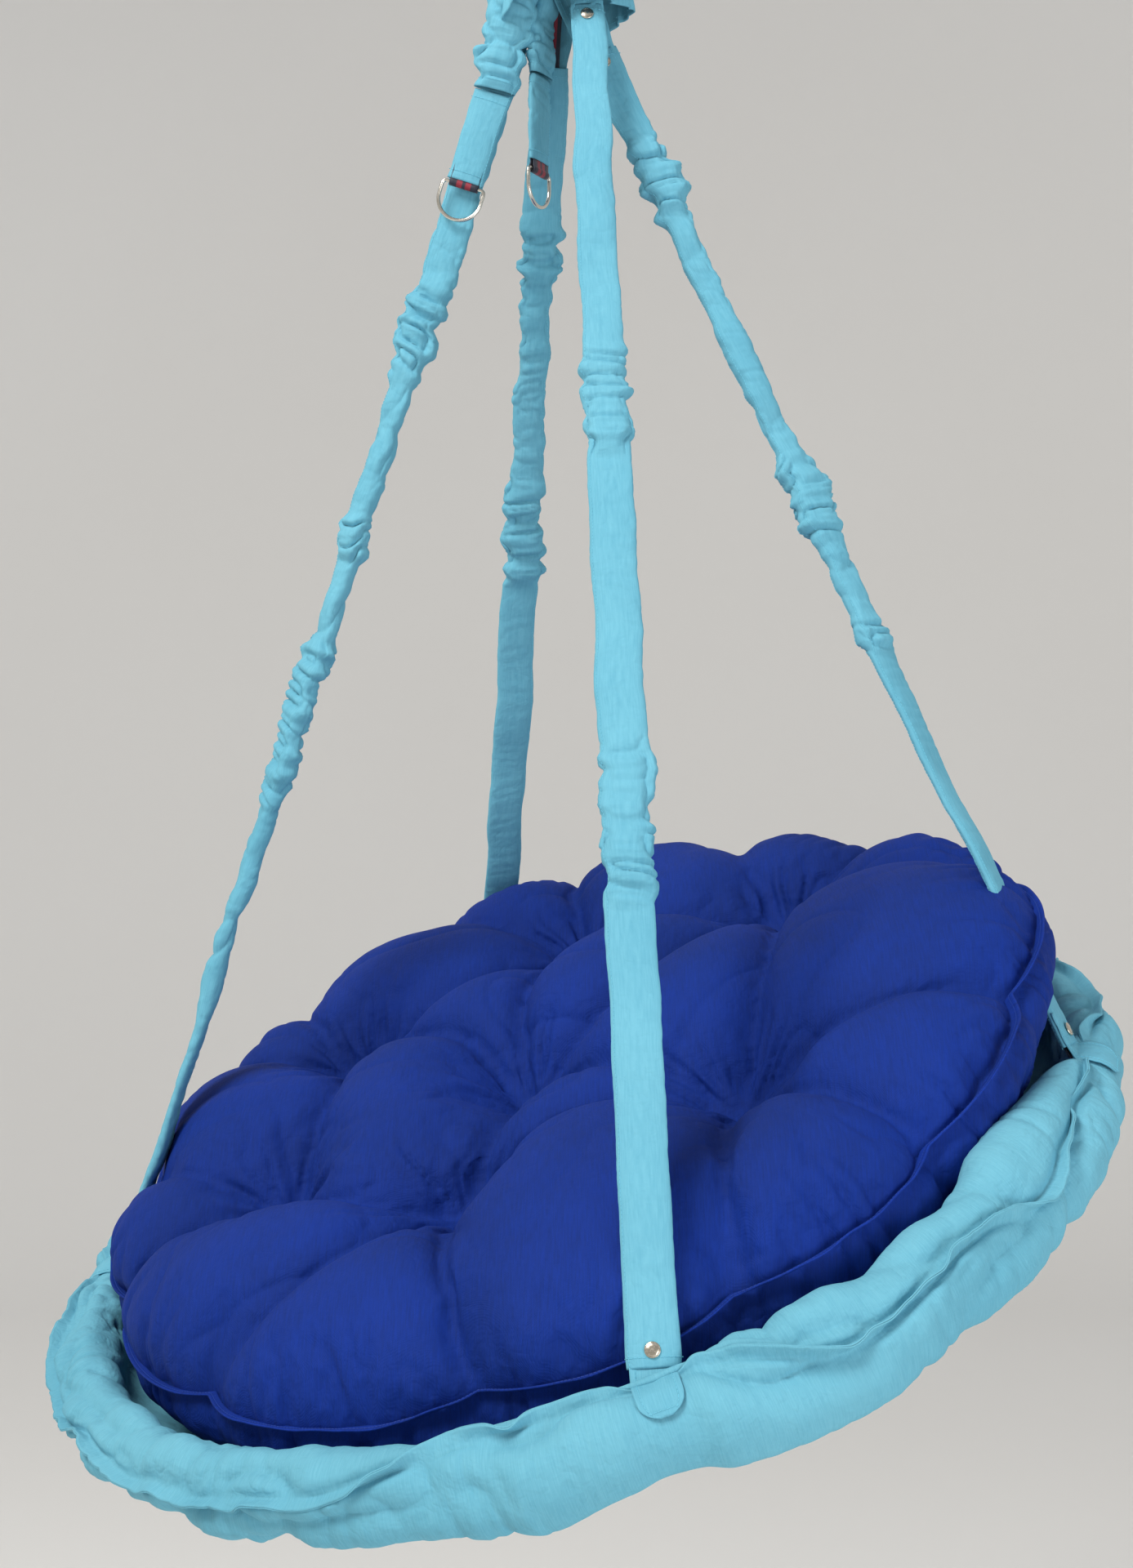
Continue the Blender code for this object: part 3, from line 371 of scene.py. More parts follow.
def finish_cloth(piece, material, body="seat"):
    """Gives a cloth piece its material and the body that it moves with."""
    piece.data.materials.clear()
    piece.data.materials.append(material)
    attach(piece, body)
    return piece


def striped_webbing():
    """Ribbed navy polypropylene; the two red stripes run along it beside the middle."""
    made, tree = new_material("navy_polypropylene_webbing_ribbed")
    flat = add(tree, 'ShaderNodeUVMap', uv_map="cloth").outputs["UV"]
    parts = add(tree, 'ShaderNodeSeparateXYZ', {"Vector": flat})
    side = add(tree, 'ShaderNodeMath', {0: parts.outputs["X"]}, operation='ABSOLUTE')
    away = add(tree, 'ShaderNodeMath', {0: side.outputs[0], 1: 0.0046}, operation='SUBTRACT')
    away = add(tree, 'ShaderNodeMath', {0: away.outputs[0]}, operation='ABSOLUTE')
    stripe = add(tree, 'ShaderNodeMapRange', {"Value": away.outputs[0], 1: 0.0026, 2: 0.0032,
                                              3: 1.0, 4: 0.0})
    ribs = add(tree, 'ShaderNodeMath', {0: parts.outputs["Y"], 1: 3600.0}, operation='MULTIPLY')
    ribs = add(tree, 'ShaderNodeMath', {0: ribs.outputs[0]}, operation='SINE')
    wale = add(tree, 'ShaderNodeMath', {0: parts.outputs["X"], 1: 5200.0}, operation='MULTIPLY')
    wale = add(tree, 'ShaderNodeMath', {0: wale.outputs[0]}, operation='SINE')
    weave = add(tree, 'ShaderNodeMath', {0: ribs.outputs[0], 1: wale.outputs[0]},
                operation='MULTIPLY')
    bump = add(tree, 'ShaderNodeBump', {"Height": weave.outputs[0], "Strength": 0.35,
                                        "Distance": 0.0004})
    shade(tree, {"Base Color": two_tones(tree, stripe.outputs[0], "14172C", "86142A"),
                 "Roughness": 0.58, "Normal": bump.outputs[0], "Sheen Weight": 0.15})
    return made


straps = {name: Strap(*facts) for name, facts in SLINGS.items()}
webbing = striped_webbing()
for name, strap in straps.items():
    band, length = sling_webbing(name, strap)
    finish_cloth(band, webbing)
    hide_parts("sling_" + name)
    ring = "hang_ring" if name in ("front", "left") else "rear_ring"

# ---------------------------------------------------------------- seat cover
# Turquoise cotton in two panels.  The outer one wraps the foam and hangs a little slack below
# it; the seat cloth runs inwards and sags as a shallow bowl.  A stitched ridge joins them: it
# wanders up and down round the rim, and the gathers run across the rim from it.
COVER_RADIUS = 0.0272
RIDGE = [(5, 28), (30, 40), (50, 20), (70, 40), (90, 60), (103, 90), (115, 50), (135, 25),
         (150, 45), (165, 60), (174, 85), (183, 50), (190, 25), (205, 15), (215, 38), (222, 12),
         (235, 10), (247, 20), (255, 65), (262, 95), (270, 105), (277, 108), (284, 92),
         (289, 55), (294, 8), (299, 22), (304, 45), (311, 68), (316, 16), (321, 12), (327, 58),
         (332, 74), (338, 60), (346, 84), (355, 58)]
# How far the outer panel hangs off the rim, in millimetres, against the angle round the hoop.
SLACK = [(0, 6), (30, 10), (60, 9), (90, 6), (102, 2), (120, 10), (150, 7), (173, 2), (195, 5),
         (224, 3), (240, 6), (254, 17), (262, 29), (270, 13), (277, 11), (285, 22), (293, 25),
         (305, 22), (313, 25), (319, 11), (332, 4), (344, 2)]
# How far the seat cloth puffs up between the rim and the cushion, in millimetres.
PUFF = [(0, 4), (60, 6), (120, 6), (173, 3), (215, 3), (229, 5), (243, 2), (254, 0), (262, 0),
        (269, 6), (277, 9), (302, 11), (313, 20), (321, 34), (334, 22), (344, 4)]
GATHERS = [(0, 0.6), (60, 0.7), (120, 0.8), (168, 1.3), (225, 1.2), (245, 0.6), (262, 0.3),
           (290, 0.25), (305, 0.4), (335, 0.6)]
COLUMNS = 1440


def round_hoop(table, turn):
    """Values given round the hoop against an angle in degrees, joined smoothly."""
    angles, values = np.array(table, float).T
    angles = np.concatenate([angles[-3:] - 360, angles, angles[:3] + 360])
    values = np.concatenate([values[-3:], values, values[:3]])
    degrees = np.degrees(turn) % 360
    return sum(np.interp(degrees + d, angles, values) for d in (-3, -1.5, 0, 1.5, 3)) / 5


def waves(u, v, cells_u, cells_v, seed):
    """Smooth random waves from -1 to 1.  u closes on itself from 0 to 1, v runs from 0 to 1."""
    knots = np.random.default_rng(seed).uniform(-1, 1, (cells_u, cells_v + 3))
    x, y = np.mod(u, 1.0) * cells_u, np.clip(v, 0, 1) * cells_v
    i, j = np.floor(x).astype(int) % cells_u, np.floor(y).astype(int)
    fx, fy = x - np.floor(x), y - np.floor(y)
    fx, fy = fx * fx * (3 - 2 * fx), fy * fy * (3 - 2 * fy)
    i_next = (i + 1) % cells_u
    low = knots[i, j] * (1 - fx) + knots[i_next, j] * fx
    high = knots[i, j + 1] * (1 - fx) + knots[i_next, j + 1] * fx
    return (low * (1 - fy) + high * fy) * 1.6


def bulges(u, v, cells_u, cells_v, seed):
    """Rounded bulges between sharp creases, from 0 in a crease to about 1."""
    return np.minimum(1.0, np.abs(waves(u, v, cells_u, cells_v, seed))) ** 0.72


def on_rim(turn, bend, radius):
    """Points round the hoop's circle at a bend round its section, in the hoop's own frame."""
    turn, bend, radius = np.broadcast_arrays(turn, bend, radius)
    reach = HOOP_RADIUS + radius * np.cos(bend)
    return np.stack([reach * np.cos(turn), reach * np.sin(turn), radius * np.sin(bend)], -1)


def calm_at_slings(turn):
    """1 along the rim, falling to 0 where a sling's webbing holds the cover down."""
    calm = np.ones_like(turn)
    for strap in straps.values():
        aside = strap.slant * FOOT_REACH / HOOP_RADIUS
        side = 1 if np.cross(np.array(hoop.to_3x3())[:, 2], strap.radial) @ strap.tangent > 0 else -1
        away = (turn - strap.angle - aside * side + math.pi) % (2 * math.pi) - math.pi
        calm *= 1 - np.exp(-(away * HOOP_RADIUS / 0.030) ** 4)
    return calm


def gathers(turn, v, seed):
    """Height of the cover's gathers: long ones across the rim with finer ones between them."""
    u = turn / (2 * math.pi)
    u = u + 0.0060 * waves(u, v, 44, 2, seed + 1) * v
    coarse = bulges(u, v, 54, 2, seed + 2) * 0.0150
    medium = bulges(u, v, 128, 3, seed + 3) * 0.0075
    fine = bulges(u + 0.002 * v, v, 300, 4, seed + 4) * 0.0015
    dense = round_hoop(GATHERS, turn)
    return (coarse - 0.0070 + (medium + fine - 0.0032) * dense) \
        * (0.12 + 0.88 * calm_at_slings(turn))


around = np.linspace(0, 2 * math.pi, COLUMNS + 1)
turn = around[:-1]
ridge_bend = np.radians(round_hoop(RIDGE, turn)) + 0.10 * waves(turn / (2 * math.pi), 0 * turn,
                                                                 70, 1, 11)
lean = ridge_bend + 0.42 * waves(turn / (2 * math.pi), 0 * turn, 64, 1, 12) \
    + 0.25 * waves(turn / (2 * math.pi), 0 * turn, 170, 1, 14)
ridge_rise = (0.0112 + 0.0012 * waves(turn / (2 * math.pi), 0 * turn, 90, 1, 13)) \
    * (0.12 + 0.88 * calm_at_slings(turn))
ridge_root = COVER_RADIUS + 0.0016 + 0.35 * np.maximum(gathers(turn, 0 * turn, 31), -0.002)


def ridge_rows(side, shares):
    """Rows from the ridge's edge down to its root, a thickness aside from its middle."""
    rows = []
    root = on_rim(turn, ridge_bend, ridge_root)
    rise = on_rim(turn, lean, ridge_rise) - on_rim(turn, lean, 0 * turn)
    normal = on_rim(turn, lean + math.pi / 2, 1.0 + 0 * turn) - on_rim(turn, lean, 0 * turn)
    for share in shares:
        rows.append(root + rise * share + normal * side)
    return rows


def flat_of(grid, width):
    """Each corner's place on the uncut cloth: along the rim, and down from the first row."""
    down = np.linalg.norm(np.diff(grid, axis=0), axis=2)
    down = np.concatenate([np.zeros((1, down.shape[1])), np.cumsum(down, axis=0)])
    down = np.concatenate([down, down[:, :1]], axis=1)
    return np.stack([np.broadcast_to(np.linspace(0, width, down.shape[1]), down.shape), down], -1)


RIDGE_SHARES = [1.0, 0.78, 0.55, 0.30, 0.06]
outer_rows = ridge_rows(-0.0007, RIDGE_SHARES)
last = math.radians(-136)
for share in np.linspace(0.02, 1.0, 34):
    bend = (ridge_bend - 0.03) * (1 - share) + last * share
    hang = round_hoop(SLACK, turn) / 1000 * np.exp(-((bend + 1.15) / 0.85) ** 2)
    grow = ease(0.0, 0.10, share) * (1 - 0.6 * ease(0.86, 1.0, share))
    radius = COVER_RADIUS + 0.0004 + hang + gathers(turn, 0.05 + 0.9 * share + 0 * turn, 21) * grow
    outer_rows.append(on_rim(turn, bend, radius))
outer_grid = into(hoop, np.array(outer_rows))
rim_panel = skin("rim_cover_panel", outer_grid, wrap_columns=True, flat=flat_of(outer_grid, 3.46))

cloth_rows = ridge_rows(0.0007, RIDGE_SHARES)
first, over = ridge_bend + 0.03, math.radians(204)
for share in np.linspace(0.02, 1.0, 26):
    bend = first * (1 - share) + over * share
    puff = round_hoop(PUFF, turn) / 1000 * np.exp(-((bend - 1.9) / 0.75) ** 2)
    grow = ease(0.0, 0.12, share)
    radius = COVER_RADIUS + 0.0004 + puff + gathers(turn, 0.05 + 0.9 * share + 0 * turn, 22) \
        * grow * (0.8 - 0.3 * share)
    cloth_rows.append(on_rim(turn, bend, radius))
rim_edge = HOOP_RADIUS + COVER_RADIUS * math.cos(over)
edge_height = COVER_RADIUS * math.sin(over)
for share in [0.992, 0.98, 0.965, 0.945, 0.92, 0.89, 0.85, 0.80, 0.73, 0.65, 0.55, 0.43, 0.30, 0.16,
              0.06, 0.004]:
    depth = math.sqrt(1 - share ** 4)
    fold = bulges(turn / (2 * math.pi), share + 0 * turn, 140, 6, 41) - 0.45
    sag = edge_height - (0.110 + edge_height) * depth
    height = sag + 0.0034 * fold * ease(0.02, 0.35, share) * (1 - 0.5 * ease(0.9, 1.0, share))
    radius = rim_edge * share + 0 * turn
    cloth_rows.append(np.stack([radius * np.cos(turn), radius * np.sin(turn), height], -1))
cloth_grid = into(hoop, np.array(cloth_rows))
seat_panel = skin("seat_cloth_panel", cloth_grid, wrap_columns=True,
                  flat=flat_of(cloth_grid, 3.46))


def close_poles(piece):
    """Fills the pin holes that rows of points leave, and turns all faces outwards."""
    shape = bmesh.new()
    shape.from_mesh(piece.data)
    pins = [e for e in shape.edges if e.is_boundary and e.calc_length() < 4e-5]
    bmesh.ops.holes_fill(shape, edges=pins, sides=0)
    bmesh.ops.recalc_face_normals(shape, faces=shape.faces)
    shape.to_mesh(piece.data)
    shape.free()


def cotton_cloth(name, low, high, crease, sheen, twill=False, own_uv=True):
    """Woven cotton: threads crossing, slubs and faint fading, and fine handling creases."""
    made, tree = new_material(name)
    place = add(tree, 'ShaderNodeTexCoord').outputs["Object"]
    flat = add(tree, 'ShaderNodeUVMap', uv_map="cloth").outputs["UV"] if own_uv else place
    fade = add(tree, 'ShaderNodeTexNoise', {"Vector": place, "Scale": 7.0, "Detail": 4.0})
    long = add(tree, 'ShaderNodeMapping', {"Vector": flat, "Scale": (900.0, 45.0, 60.0)})
    slub = add(tree, 'ShaderNodeTexNoise', {"Vector": long.outputs[0], "Scale": 1.0})
    tone = add(tree, 'ShaderNodeMath', {0: fade.outputs["Fac"], 1: slub.outputs["Fac"]},
               operation='ADD')
    tone = add(tree, 'ShaderNodeMapRange', {"Value": tone.outputs[0], 1: 0.75, 2: 1.25})
    parts = add(tree, 'ShaderNodeSeparateXYZ', {"Vector": flat})
    warp = add(tree, 'ShaderNodeMath', {0: parts.outputs["X"], 1: 7400.0}, operation='MULTIPLY')
    weft = add(tree, 'ShaderNodeMath', {0: parts.outputs["Y"], 1: 7400.0}, operation='MULTIPLY')
    if twill:
        warp = add(tree, 'ShaderNodeMath', {0: warp.outputs[0], 1: weft.outputs[0]},
                   operation='ADD')
    warp = add(tree, 'ShaderNodeMath', {0: warp.outputs[0]}, operation='SINE')
    weft = add(tree, 'ShaderNodeMath', {0: weft.outputs[0]}, operation='SINE')
    weave = add(tree, 'ShaderNodeMath', {0: warp.outputs[0], 1: weft.outputs[0]},
                operation='ADD' if twill else 'MULTIPLY')
    bend = add(tree, 'ShaderNodeTexNoise', {"Vector": place, "Scale": 9.0, "Detail": 2.0})
    bent = add(tree, 'ShaderNodeVectorMath', {0: bend.outputs["Color"], 1: (0.05, 0.05, 0.05)},
               operation='MULTIPLY')
    bent = add(tree, 'ShaderNodeVectorMath', {0: bent.outputs[0], 1: place}, operation='ADD')
    fine = add(tree, 'ShaderNodeTexNoise', {"Vector": bent.outputs[0], "Scale": 38.0,
                                            "Detail": 3.0, "Roughness": 0.55})
    fine = add(tree, 'ShaderNodeMath', {0: fine.outputs["Fac"], 1: 0.5}, operation='SUBTRACT')
    fine = add(tree, 'ShaderNodeMath', {0: fine.outputs[0]}, operation='ABSOLUTE')
    folds = add(tree, 'ShaderNodeBump', {"Height": fine.outputs[0], "Strength": 1.0,
                                         "Distance": crease})
    threads = add(tree, 'ShaderNodeBump', {"Height": weave.outputs[0], "Strength": 0.35,
                                           "Distance": 0.00016, "Normal": folds.outputs[0]})
    shade(tree, {"Base Color": two_tones(tree, tone.outputs[0], low, high), "Roughness": 0.78,
                 "Specular IOR Level": 0.20, "Sheen Weight": sheen, "Sheen Roughness": 0.5,
                 "Sheen Tint": linear(high), "Normal": threads.outputs[0]})
    return made


close_poles(seat_panel)
turquoise = cotton_cloth("turquoise_cotton_plain_weave", "5FA2B8", "6CAEC2", 0.0045, 0.10)
thicken(rim_panel, 0.0011)
thicken(seat_panel, 0.0011)
finish_cloth(rim_panel, turquoise)
finish_cloth(seat_panel, turquoise)
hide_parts("rim_cover")
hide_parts("seat_cloth")


def stitch_nodes():
    """Geometry nodes that lay a short thread on every step of a line's length."""
    group = bpy.data.node_groups.new("row_of_stitches", 'GeometryNodeTree')
    for name, kind in (("Line", 'NodeSocketGeometry'), ("Spacing", 'NodeSocketFloat'),
                       ("Thread Radius", 'NodeSocketFloat'), ("Stitch Length", 'NodeSocketFloat'),
                       ("Thread", 'NodeSocketMaterial')):
        group.interface.new_socket(name, in_out='INPUT', socket_type=kind)
    group.interface.new_socket("Stitches", in_out='OUTPUT', socket_type='NodeSocketGeometry')
    given = add(group, 'NodeGroupInput').outputs
    line = add(group, 'GeometryNodeMeshToCurve', {"Mesh": given["Line"]})
    steps = add(group, 'GeometryNodeResampleCurve', {"Curve": line.outputs[0],
                                                     "Length": given["Spacing"]}, mode='LENGTH')
    thread = add(group, 'GeometryNodeMeshCylinder', {"Vertices": 6, "Radius": given["Thread Radius"],
                                                     "Depth": given["Stitch Length"]})
    along = add(group, 'GeometryNodeInputTangent')
    turned = add(group, 'FunctionNodeAlignRotationToVector', {"Vector": along.outputs[0]}, axis='Z')
    laid = add(group, 'GeometryNodeInstanceOnPoints', {"Points": steps.outputs[0],
                                                       "Instance": thread.outputs["Mesh"],
                                                       "Rotation": turned.outputs[0]})
    real = add(group, 'GeometryNodeRealizeInstances', {"Geometry": laid.outputs[0]})
    done = add(group, 'GeometryNodeSetMaterial', {"Geometry": real.outputs[0],
                                                  "Material": given["Thread"]})
    add(group, 'NodeGroupOutput', {"Stitches": done.outputs[0]})
    return group


def evaluated_mesh(piece):
    graph = bpy.context.evaluated_depsgraph_get()
    return bpy.data.meshes.new_from_object(piece.evaluated_get(graph))


def sew(name, lines, thread, body="seat", spacing=0.0036, closed=False):
    """One piece with every stitch of some rows of points."""
    points, edges = [], []
    for line in lines:
        start = len(points)
        points += [tuple(p) for p in line]
        edges += [(start + i, start + i + 1) for i in range(len(line) - 1)]
        if closed:
            edges.append((len(points) - 1, start))
    mesh = bpy.data.meshes.new(name)
    mesh.from_pydata(points, edges, [])
    piece = bpy.data.objects.new(name, mesh)
    bpy.context.scene.collection.objects.link(piece)
    change = piece.modifiers.new("stitches", 'NODES')
    change.node_group = stitches
    for item in stitches.interface.items_tree:
        values = {"Spacing": spacing, "Thread Radius": 0.00034, "Stitch Length": spacing * 0.72,
                  "Thread": thread}
        if item.name in values:
            change[item.identifier] = values[item.name]
    piece.data = evaluated_mesh(piece)
    piece.modifiers.clear()
    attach(piece, body)
    return piece


def thread_material(name, low, high):
    made, tree = new_material(name)
    place = add(tree, 'ShaderNodeTexCoord').outputs["Object"]
    ply = add(tree, 'ShaderNodeTexNoise', {"Vector": place, "Scale": 1500.0})
    bump = add(tree, 'ShaderNodeBump', {"Height": ply.outputs["Fac"], "Strength": 0.4,
                                        "Distance": 0.0002})
    shade(tree, {"Base Color": two_tones(tree, ply.outputs["Fac"], low, high), "Roughness": 0.6,
                 "Normal": bump.outputs[0]})
    return made


stitches = stitch_nodes()
turquoise_thread = thread_material("turquoise_polyester_thread", "4FA3BC", "7CC8DC")
blue_thread = thread_material("blue_polyester_thread", "0A2C7C", "1C4AB0")


def above(low, high, share, lift):
    """A row of points between two rows, lifted off the cloth to the outside."""
    row = low * (1 - share) + high * share
    along = np.roll(row, -1, axis=0) - np.roll(row, 1, axis=0)
    normal = np.cross(along, high - low)
    return row + normal / np.linalg.norm(normal, axis=1)[:, None] * lift


ridge_lines = [above(outer_grid[0], outer_grid[1], 0.9, 0.0008),
               above(outer_grid[2], outer_grid[3], 0.5, 0.0008),
               above(cloth_grid[0], cloth_grid[1], 0.9, -0.0008),
               above(cloth_grid[2], cloth_grid[3], 0.5, -0.0008)]
rim_stitches = sew("rim_stitches", ridge_lines, turquoise_thread, closed=True)

# ---------------------------------------------------------------- cushion
# Fibre filled round cushion with a box edge, sewn from close woven royal blue cotton twill.
# Seven buttons are drawn down through it, and the cloth folds from button to button and out
# to the pleats in its top seam.
CUSHION_RADIUS = 0.486
CUSHION_FOOT_RADIUS = 0.450
CUSHION_GUSSET = 0.088
CUSHION_CROWN = 0.104
CUSHION_BELLY = 0.028
CUSHION_SEAM_HEIGHT = 0.084
CUSHION_TIP = math.radians(7.0)
CUSHION_TIP_FROM = math.radians(65.0)
CUSHION_SHIFT = 0.004
TUFT_FLOOR = 0.014
# Each tuft's distance from the middle and its angle round the cushion.
TUFTS = [(0.030, 230), (0.215, 244), (0.275, 140), (0.289, 194), (0.265, 79), (0.325, 31),
         (0.262, 316)]
PLEATS = [4, 31, 58, 83, 108, 128, 147, 168, 194, 223, 260, 288, 315, 338]
# Folds between two tufts, and from a tuft to a pleat, with how far each one bows aside.
TUFT_FOLDS = [(0, 1, 0.010), (0, 2, -0.030), (0, 4, 0.020), (0, 6, 0.012), (0, 5, -0.020),
              (1, 3, 0.030), (1, 6, 0.025), (4, 2, 0.02), (5, 6, 0.020), (5, 4, 0.02),
              (2, 3, 0.02)]
PLEAT_FOLDS = [(1, 260, 0.0), (1, 223, 0.030), (3, 194, 0.0), (3, 168, 0.01), (2, 147, 0.0),
               (2, 128, 0.01), (4, 83, 0.0), (4, 108, 0.01), (5, 58, 0.012), (5, 31, 0.0),
               (5, 4, 0.01), (6, 338, 0.016), (6, 315, 0.0), (6, 288, 0.0)]


towards = Vector((math.cos(CUSHION_TIP_FROM), math.sin(CUSHION_TIP_FROM), 0))
cushion_frame = (hoop @ Matrix.Translation(towards * CUSHION_SHIFT
                                           + Vector((0, 0, CUSHION_SEAM_HEIGHT)))
                 @ Matrix.Rotation(CUSHION_TIP, 4, Vector((towards.y, -towards.x, 0))))
tuft_places = np.array([(r * math.cos(math.radians(a)), r * math.sin(math.radians(a)))
                        for r, a in TUFTS])


def pleat_pull(turn, width):
    """1 at each pleat of the top seam, falling to 0 within a width in radians."""
    pull = np.zeros_like(turn)
    for pleat in PLEATS:
        away = np.abs((turn - math.radians(pleat) + math.pi) % (2 * math.pi) - math.pi)
        pull = np.maximum(pull, np.exp(-(away / width) ** 1.3))
    return pull


def seam_radius(turn):
    """The top seam bulges between its pleats and is drawn in at each."""
    return CUSHION_RADIUS - 0.002 - 0.020 * pleat_pull(turn, 0.075) \
        + 0.003 * waves(turn / (2 * math.pi), 0 * turn, 22, 1, 5)


def fold_depth(points):
    """How far the top is drawn down at each point: 1 at a tuft, less along the folds."""
    kept = np.ones(len(points))
    for place in tuft_places:
        away = np.linalg.norm(points - place, axis=1)
        kept *= 1 - 0.95 * np.exp(-(away / 0.056) ** 1.1)
    runs = [(tuft_places[a], tuft_places[b], bow, 0.74, 0.74) for a, b, bow in TUFT_FOLDS]
    for tuft, pleat, bow in PLEAT_FOLDS:
        turn = math.radians(pleat)
        edge = np.array((math.cos(turn), math.sin(turn))) * CUSHION_RADIUS
        runs.append((tuft_places[tuft], edge, bow, 0.74, 0.66))
    for start, end, bow, depth, depth_end in runs:
        along = end - start
        side = np.array((-along[1], along[0])) / np.linalg.norm(along)
        share = np.clip(((points - start) @ along) / (along @ along), 0, 1)
        middle = start + share[:, None] * along + side * (bow * np.sin(math.pi * share))[:, None]
        away = np.linalg.norm(points - middle, axis=1)
        deep = (depth + (depth_end - depth) * share) * (1 - 0.42 * np.sin(math.pi * share))
        kept *= 1 - deep * np.exp(-away / (0.020 + 0.010 * np.sin(math.pi * share)))
    return kept


def cushion_blank():
    """The cushion before it is filled, as rows of points from the top's middle to the foot's."""
    turn = np.linspace(0, 2 * math.pi, 361)[:-1]
    rows = []
    for share in np.concatenate([np.linspace(0.002, 0.9, 90), np.linspace(0.91, 1.0, 20)]):
        radius = seam_radius(turn) * share
        points = np.stack([radius * np.cos(turn), radius * np.sin(turn)], -1)
        crown = CUSHION_CROWN * math.sqrt(1 - share ** 5) * fold_depth(points)
        crown = np.maximum(crown, TUFT_FLOOR * min(1, (1 - share) * 8))
        rows.append(np.column_stack([points, crown]))
    for share in np.linspace(0.04, 1.0, 18):
        bulge = 0.020 * math.sin(math.pi * min(1.0, share * 1.1))
        radius = seam_radius(turn) * (1 - share) + CUSHION_FOOT_RADIUS * share + bulge
        rows.append(np.column_stack([radius * np.cos(turn), radius * np.sin(turn),
                                     -CUSHION_GUSSET * share + 0 * turn]))
    for share in (0.96, 0.88, 0.75, 0.6, 0.4, 0.2, 0.004):
        radius = CUSHION_FOOT_RADIUS * share
        depth = -CUSHION_GUSSET - CUSHION_BELLY * math.sqrt(1 - share ** 4)
        rows.append(np.column_stack([radius * np.cos(turn), radius * np.sin(turn),
                                     depth + 0 * turn]))
    return np.array(rows)


def coordinates(mesh):
    values = np.empty(len(mesh.vertices) * 3, np.float32)
    mesh.vertices.foreach_get("co", values)
    return values.reshape(-1, 3).astype(float)


def remesh(piece, size):
    change = piece.modifiers.new("even", 'REMESH')
    change.mode = 'VOXEL'
    change.voxel_size = size
    mesh = evaluated_mesh(piece)
    piece.modifiers.clear()
    piece.data = mesh


def fill(piece, sewn, pressure, swell, steps, most):
    """Fills a sewn shape by cloth pressure; sewn points stay, and none moves further than most."""
    start = coordinates(piece.data)
    group = piece.vertex_groups.new(name="sewn")
    group.add([int(i) for i in np.nonzero(sewn)[0]], 1.0, 'REPLACE')
    cloth = piece.modifiers.new("filling", 'CLOTH')
    cloth.point_cache.frame_start, cloth.point_cache.frame_end = 1, steps
    settings = cloth.settings
    settings.quality = 6
    settings.mass = 0.3
    settings.tension_stiffness, settings.compression_stiffness = 18, 12
    settings.shear_stiffness, settings.bending_stiffness = 6, 0.35
    settings.tension_damping, settings.compression_damping, settings.shear_damping = 5, 5, 5
    settings.use_pressure = True
    settings.uniform_pressure_force = pressure
    settings.shrink_min = -swell
    settings.vertex_group_mass = "sewn"
    settings.effector_weights.gravity = 0
    cloth.collision_settings.use_collision = False
    for step in range(1, steps + 1):
        bpy.context.scene.frame_set(step)
    mesh = evaluated_mesh(piece)
    moved = coordinates(mesh) - start
    piece.modifiers.clear()
    piece.vertex_groups.clear()
    bpy.context.scene.frame_set(1)
    length = np.linalg.norm(moved, axis=1)
    moved *= np.minimum(1, most / np.maximum(length, 1e-9))[:, None]
    piece.data.vertices.foreach_set("co", (start + moved).astype(np.float32).ravel())
    return length


cushion = skin("cushion_filled", cushion_blank(), wrap_columns=True)
close_poles(cushion)
remesh(cushion, 0.0065)
points = coordinates(cushion.data)
radius, turn = np.hypot(points[:, 0], points[:, 1]), np.arctan2(points[:, 1], points[:, 0])
near_tuft = np.min([np.linalg.norm(points[:, :2] - p, axis=1) for p in tuft_places], axis=0)
sewn = ((near_tuft < 0.011) & (points[:, 2] > 0)) | (points[:, 2] < -CUSHION_GUSSET * 0.8)
sewn |= (np.abs(points[:, 2]) < 0.005) & (radius > CUSHION_RADIUS - 0.03)
fill(cushion, sewn, pressure=4.0, swell=0.03, steps=20, most=0.026)
change = cushion.modifiers.new("smooth", 'SUBSURF')
change.levels = change.render_levels = 1
cushion.data = evaluated_mesh(cushion)
cushion.modifiers.clear()


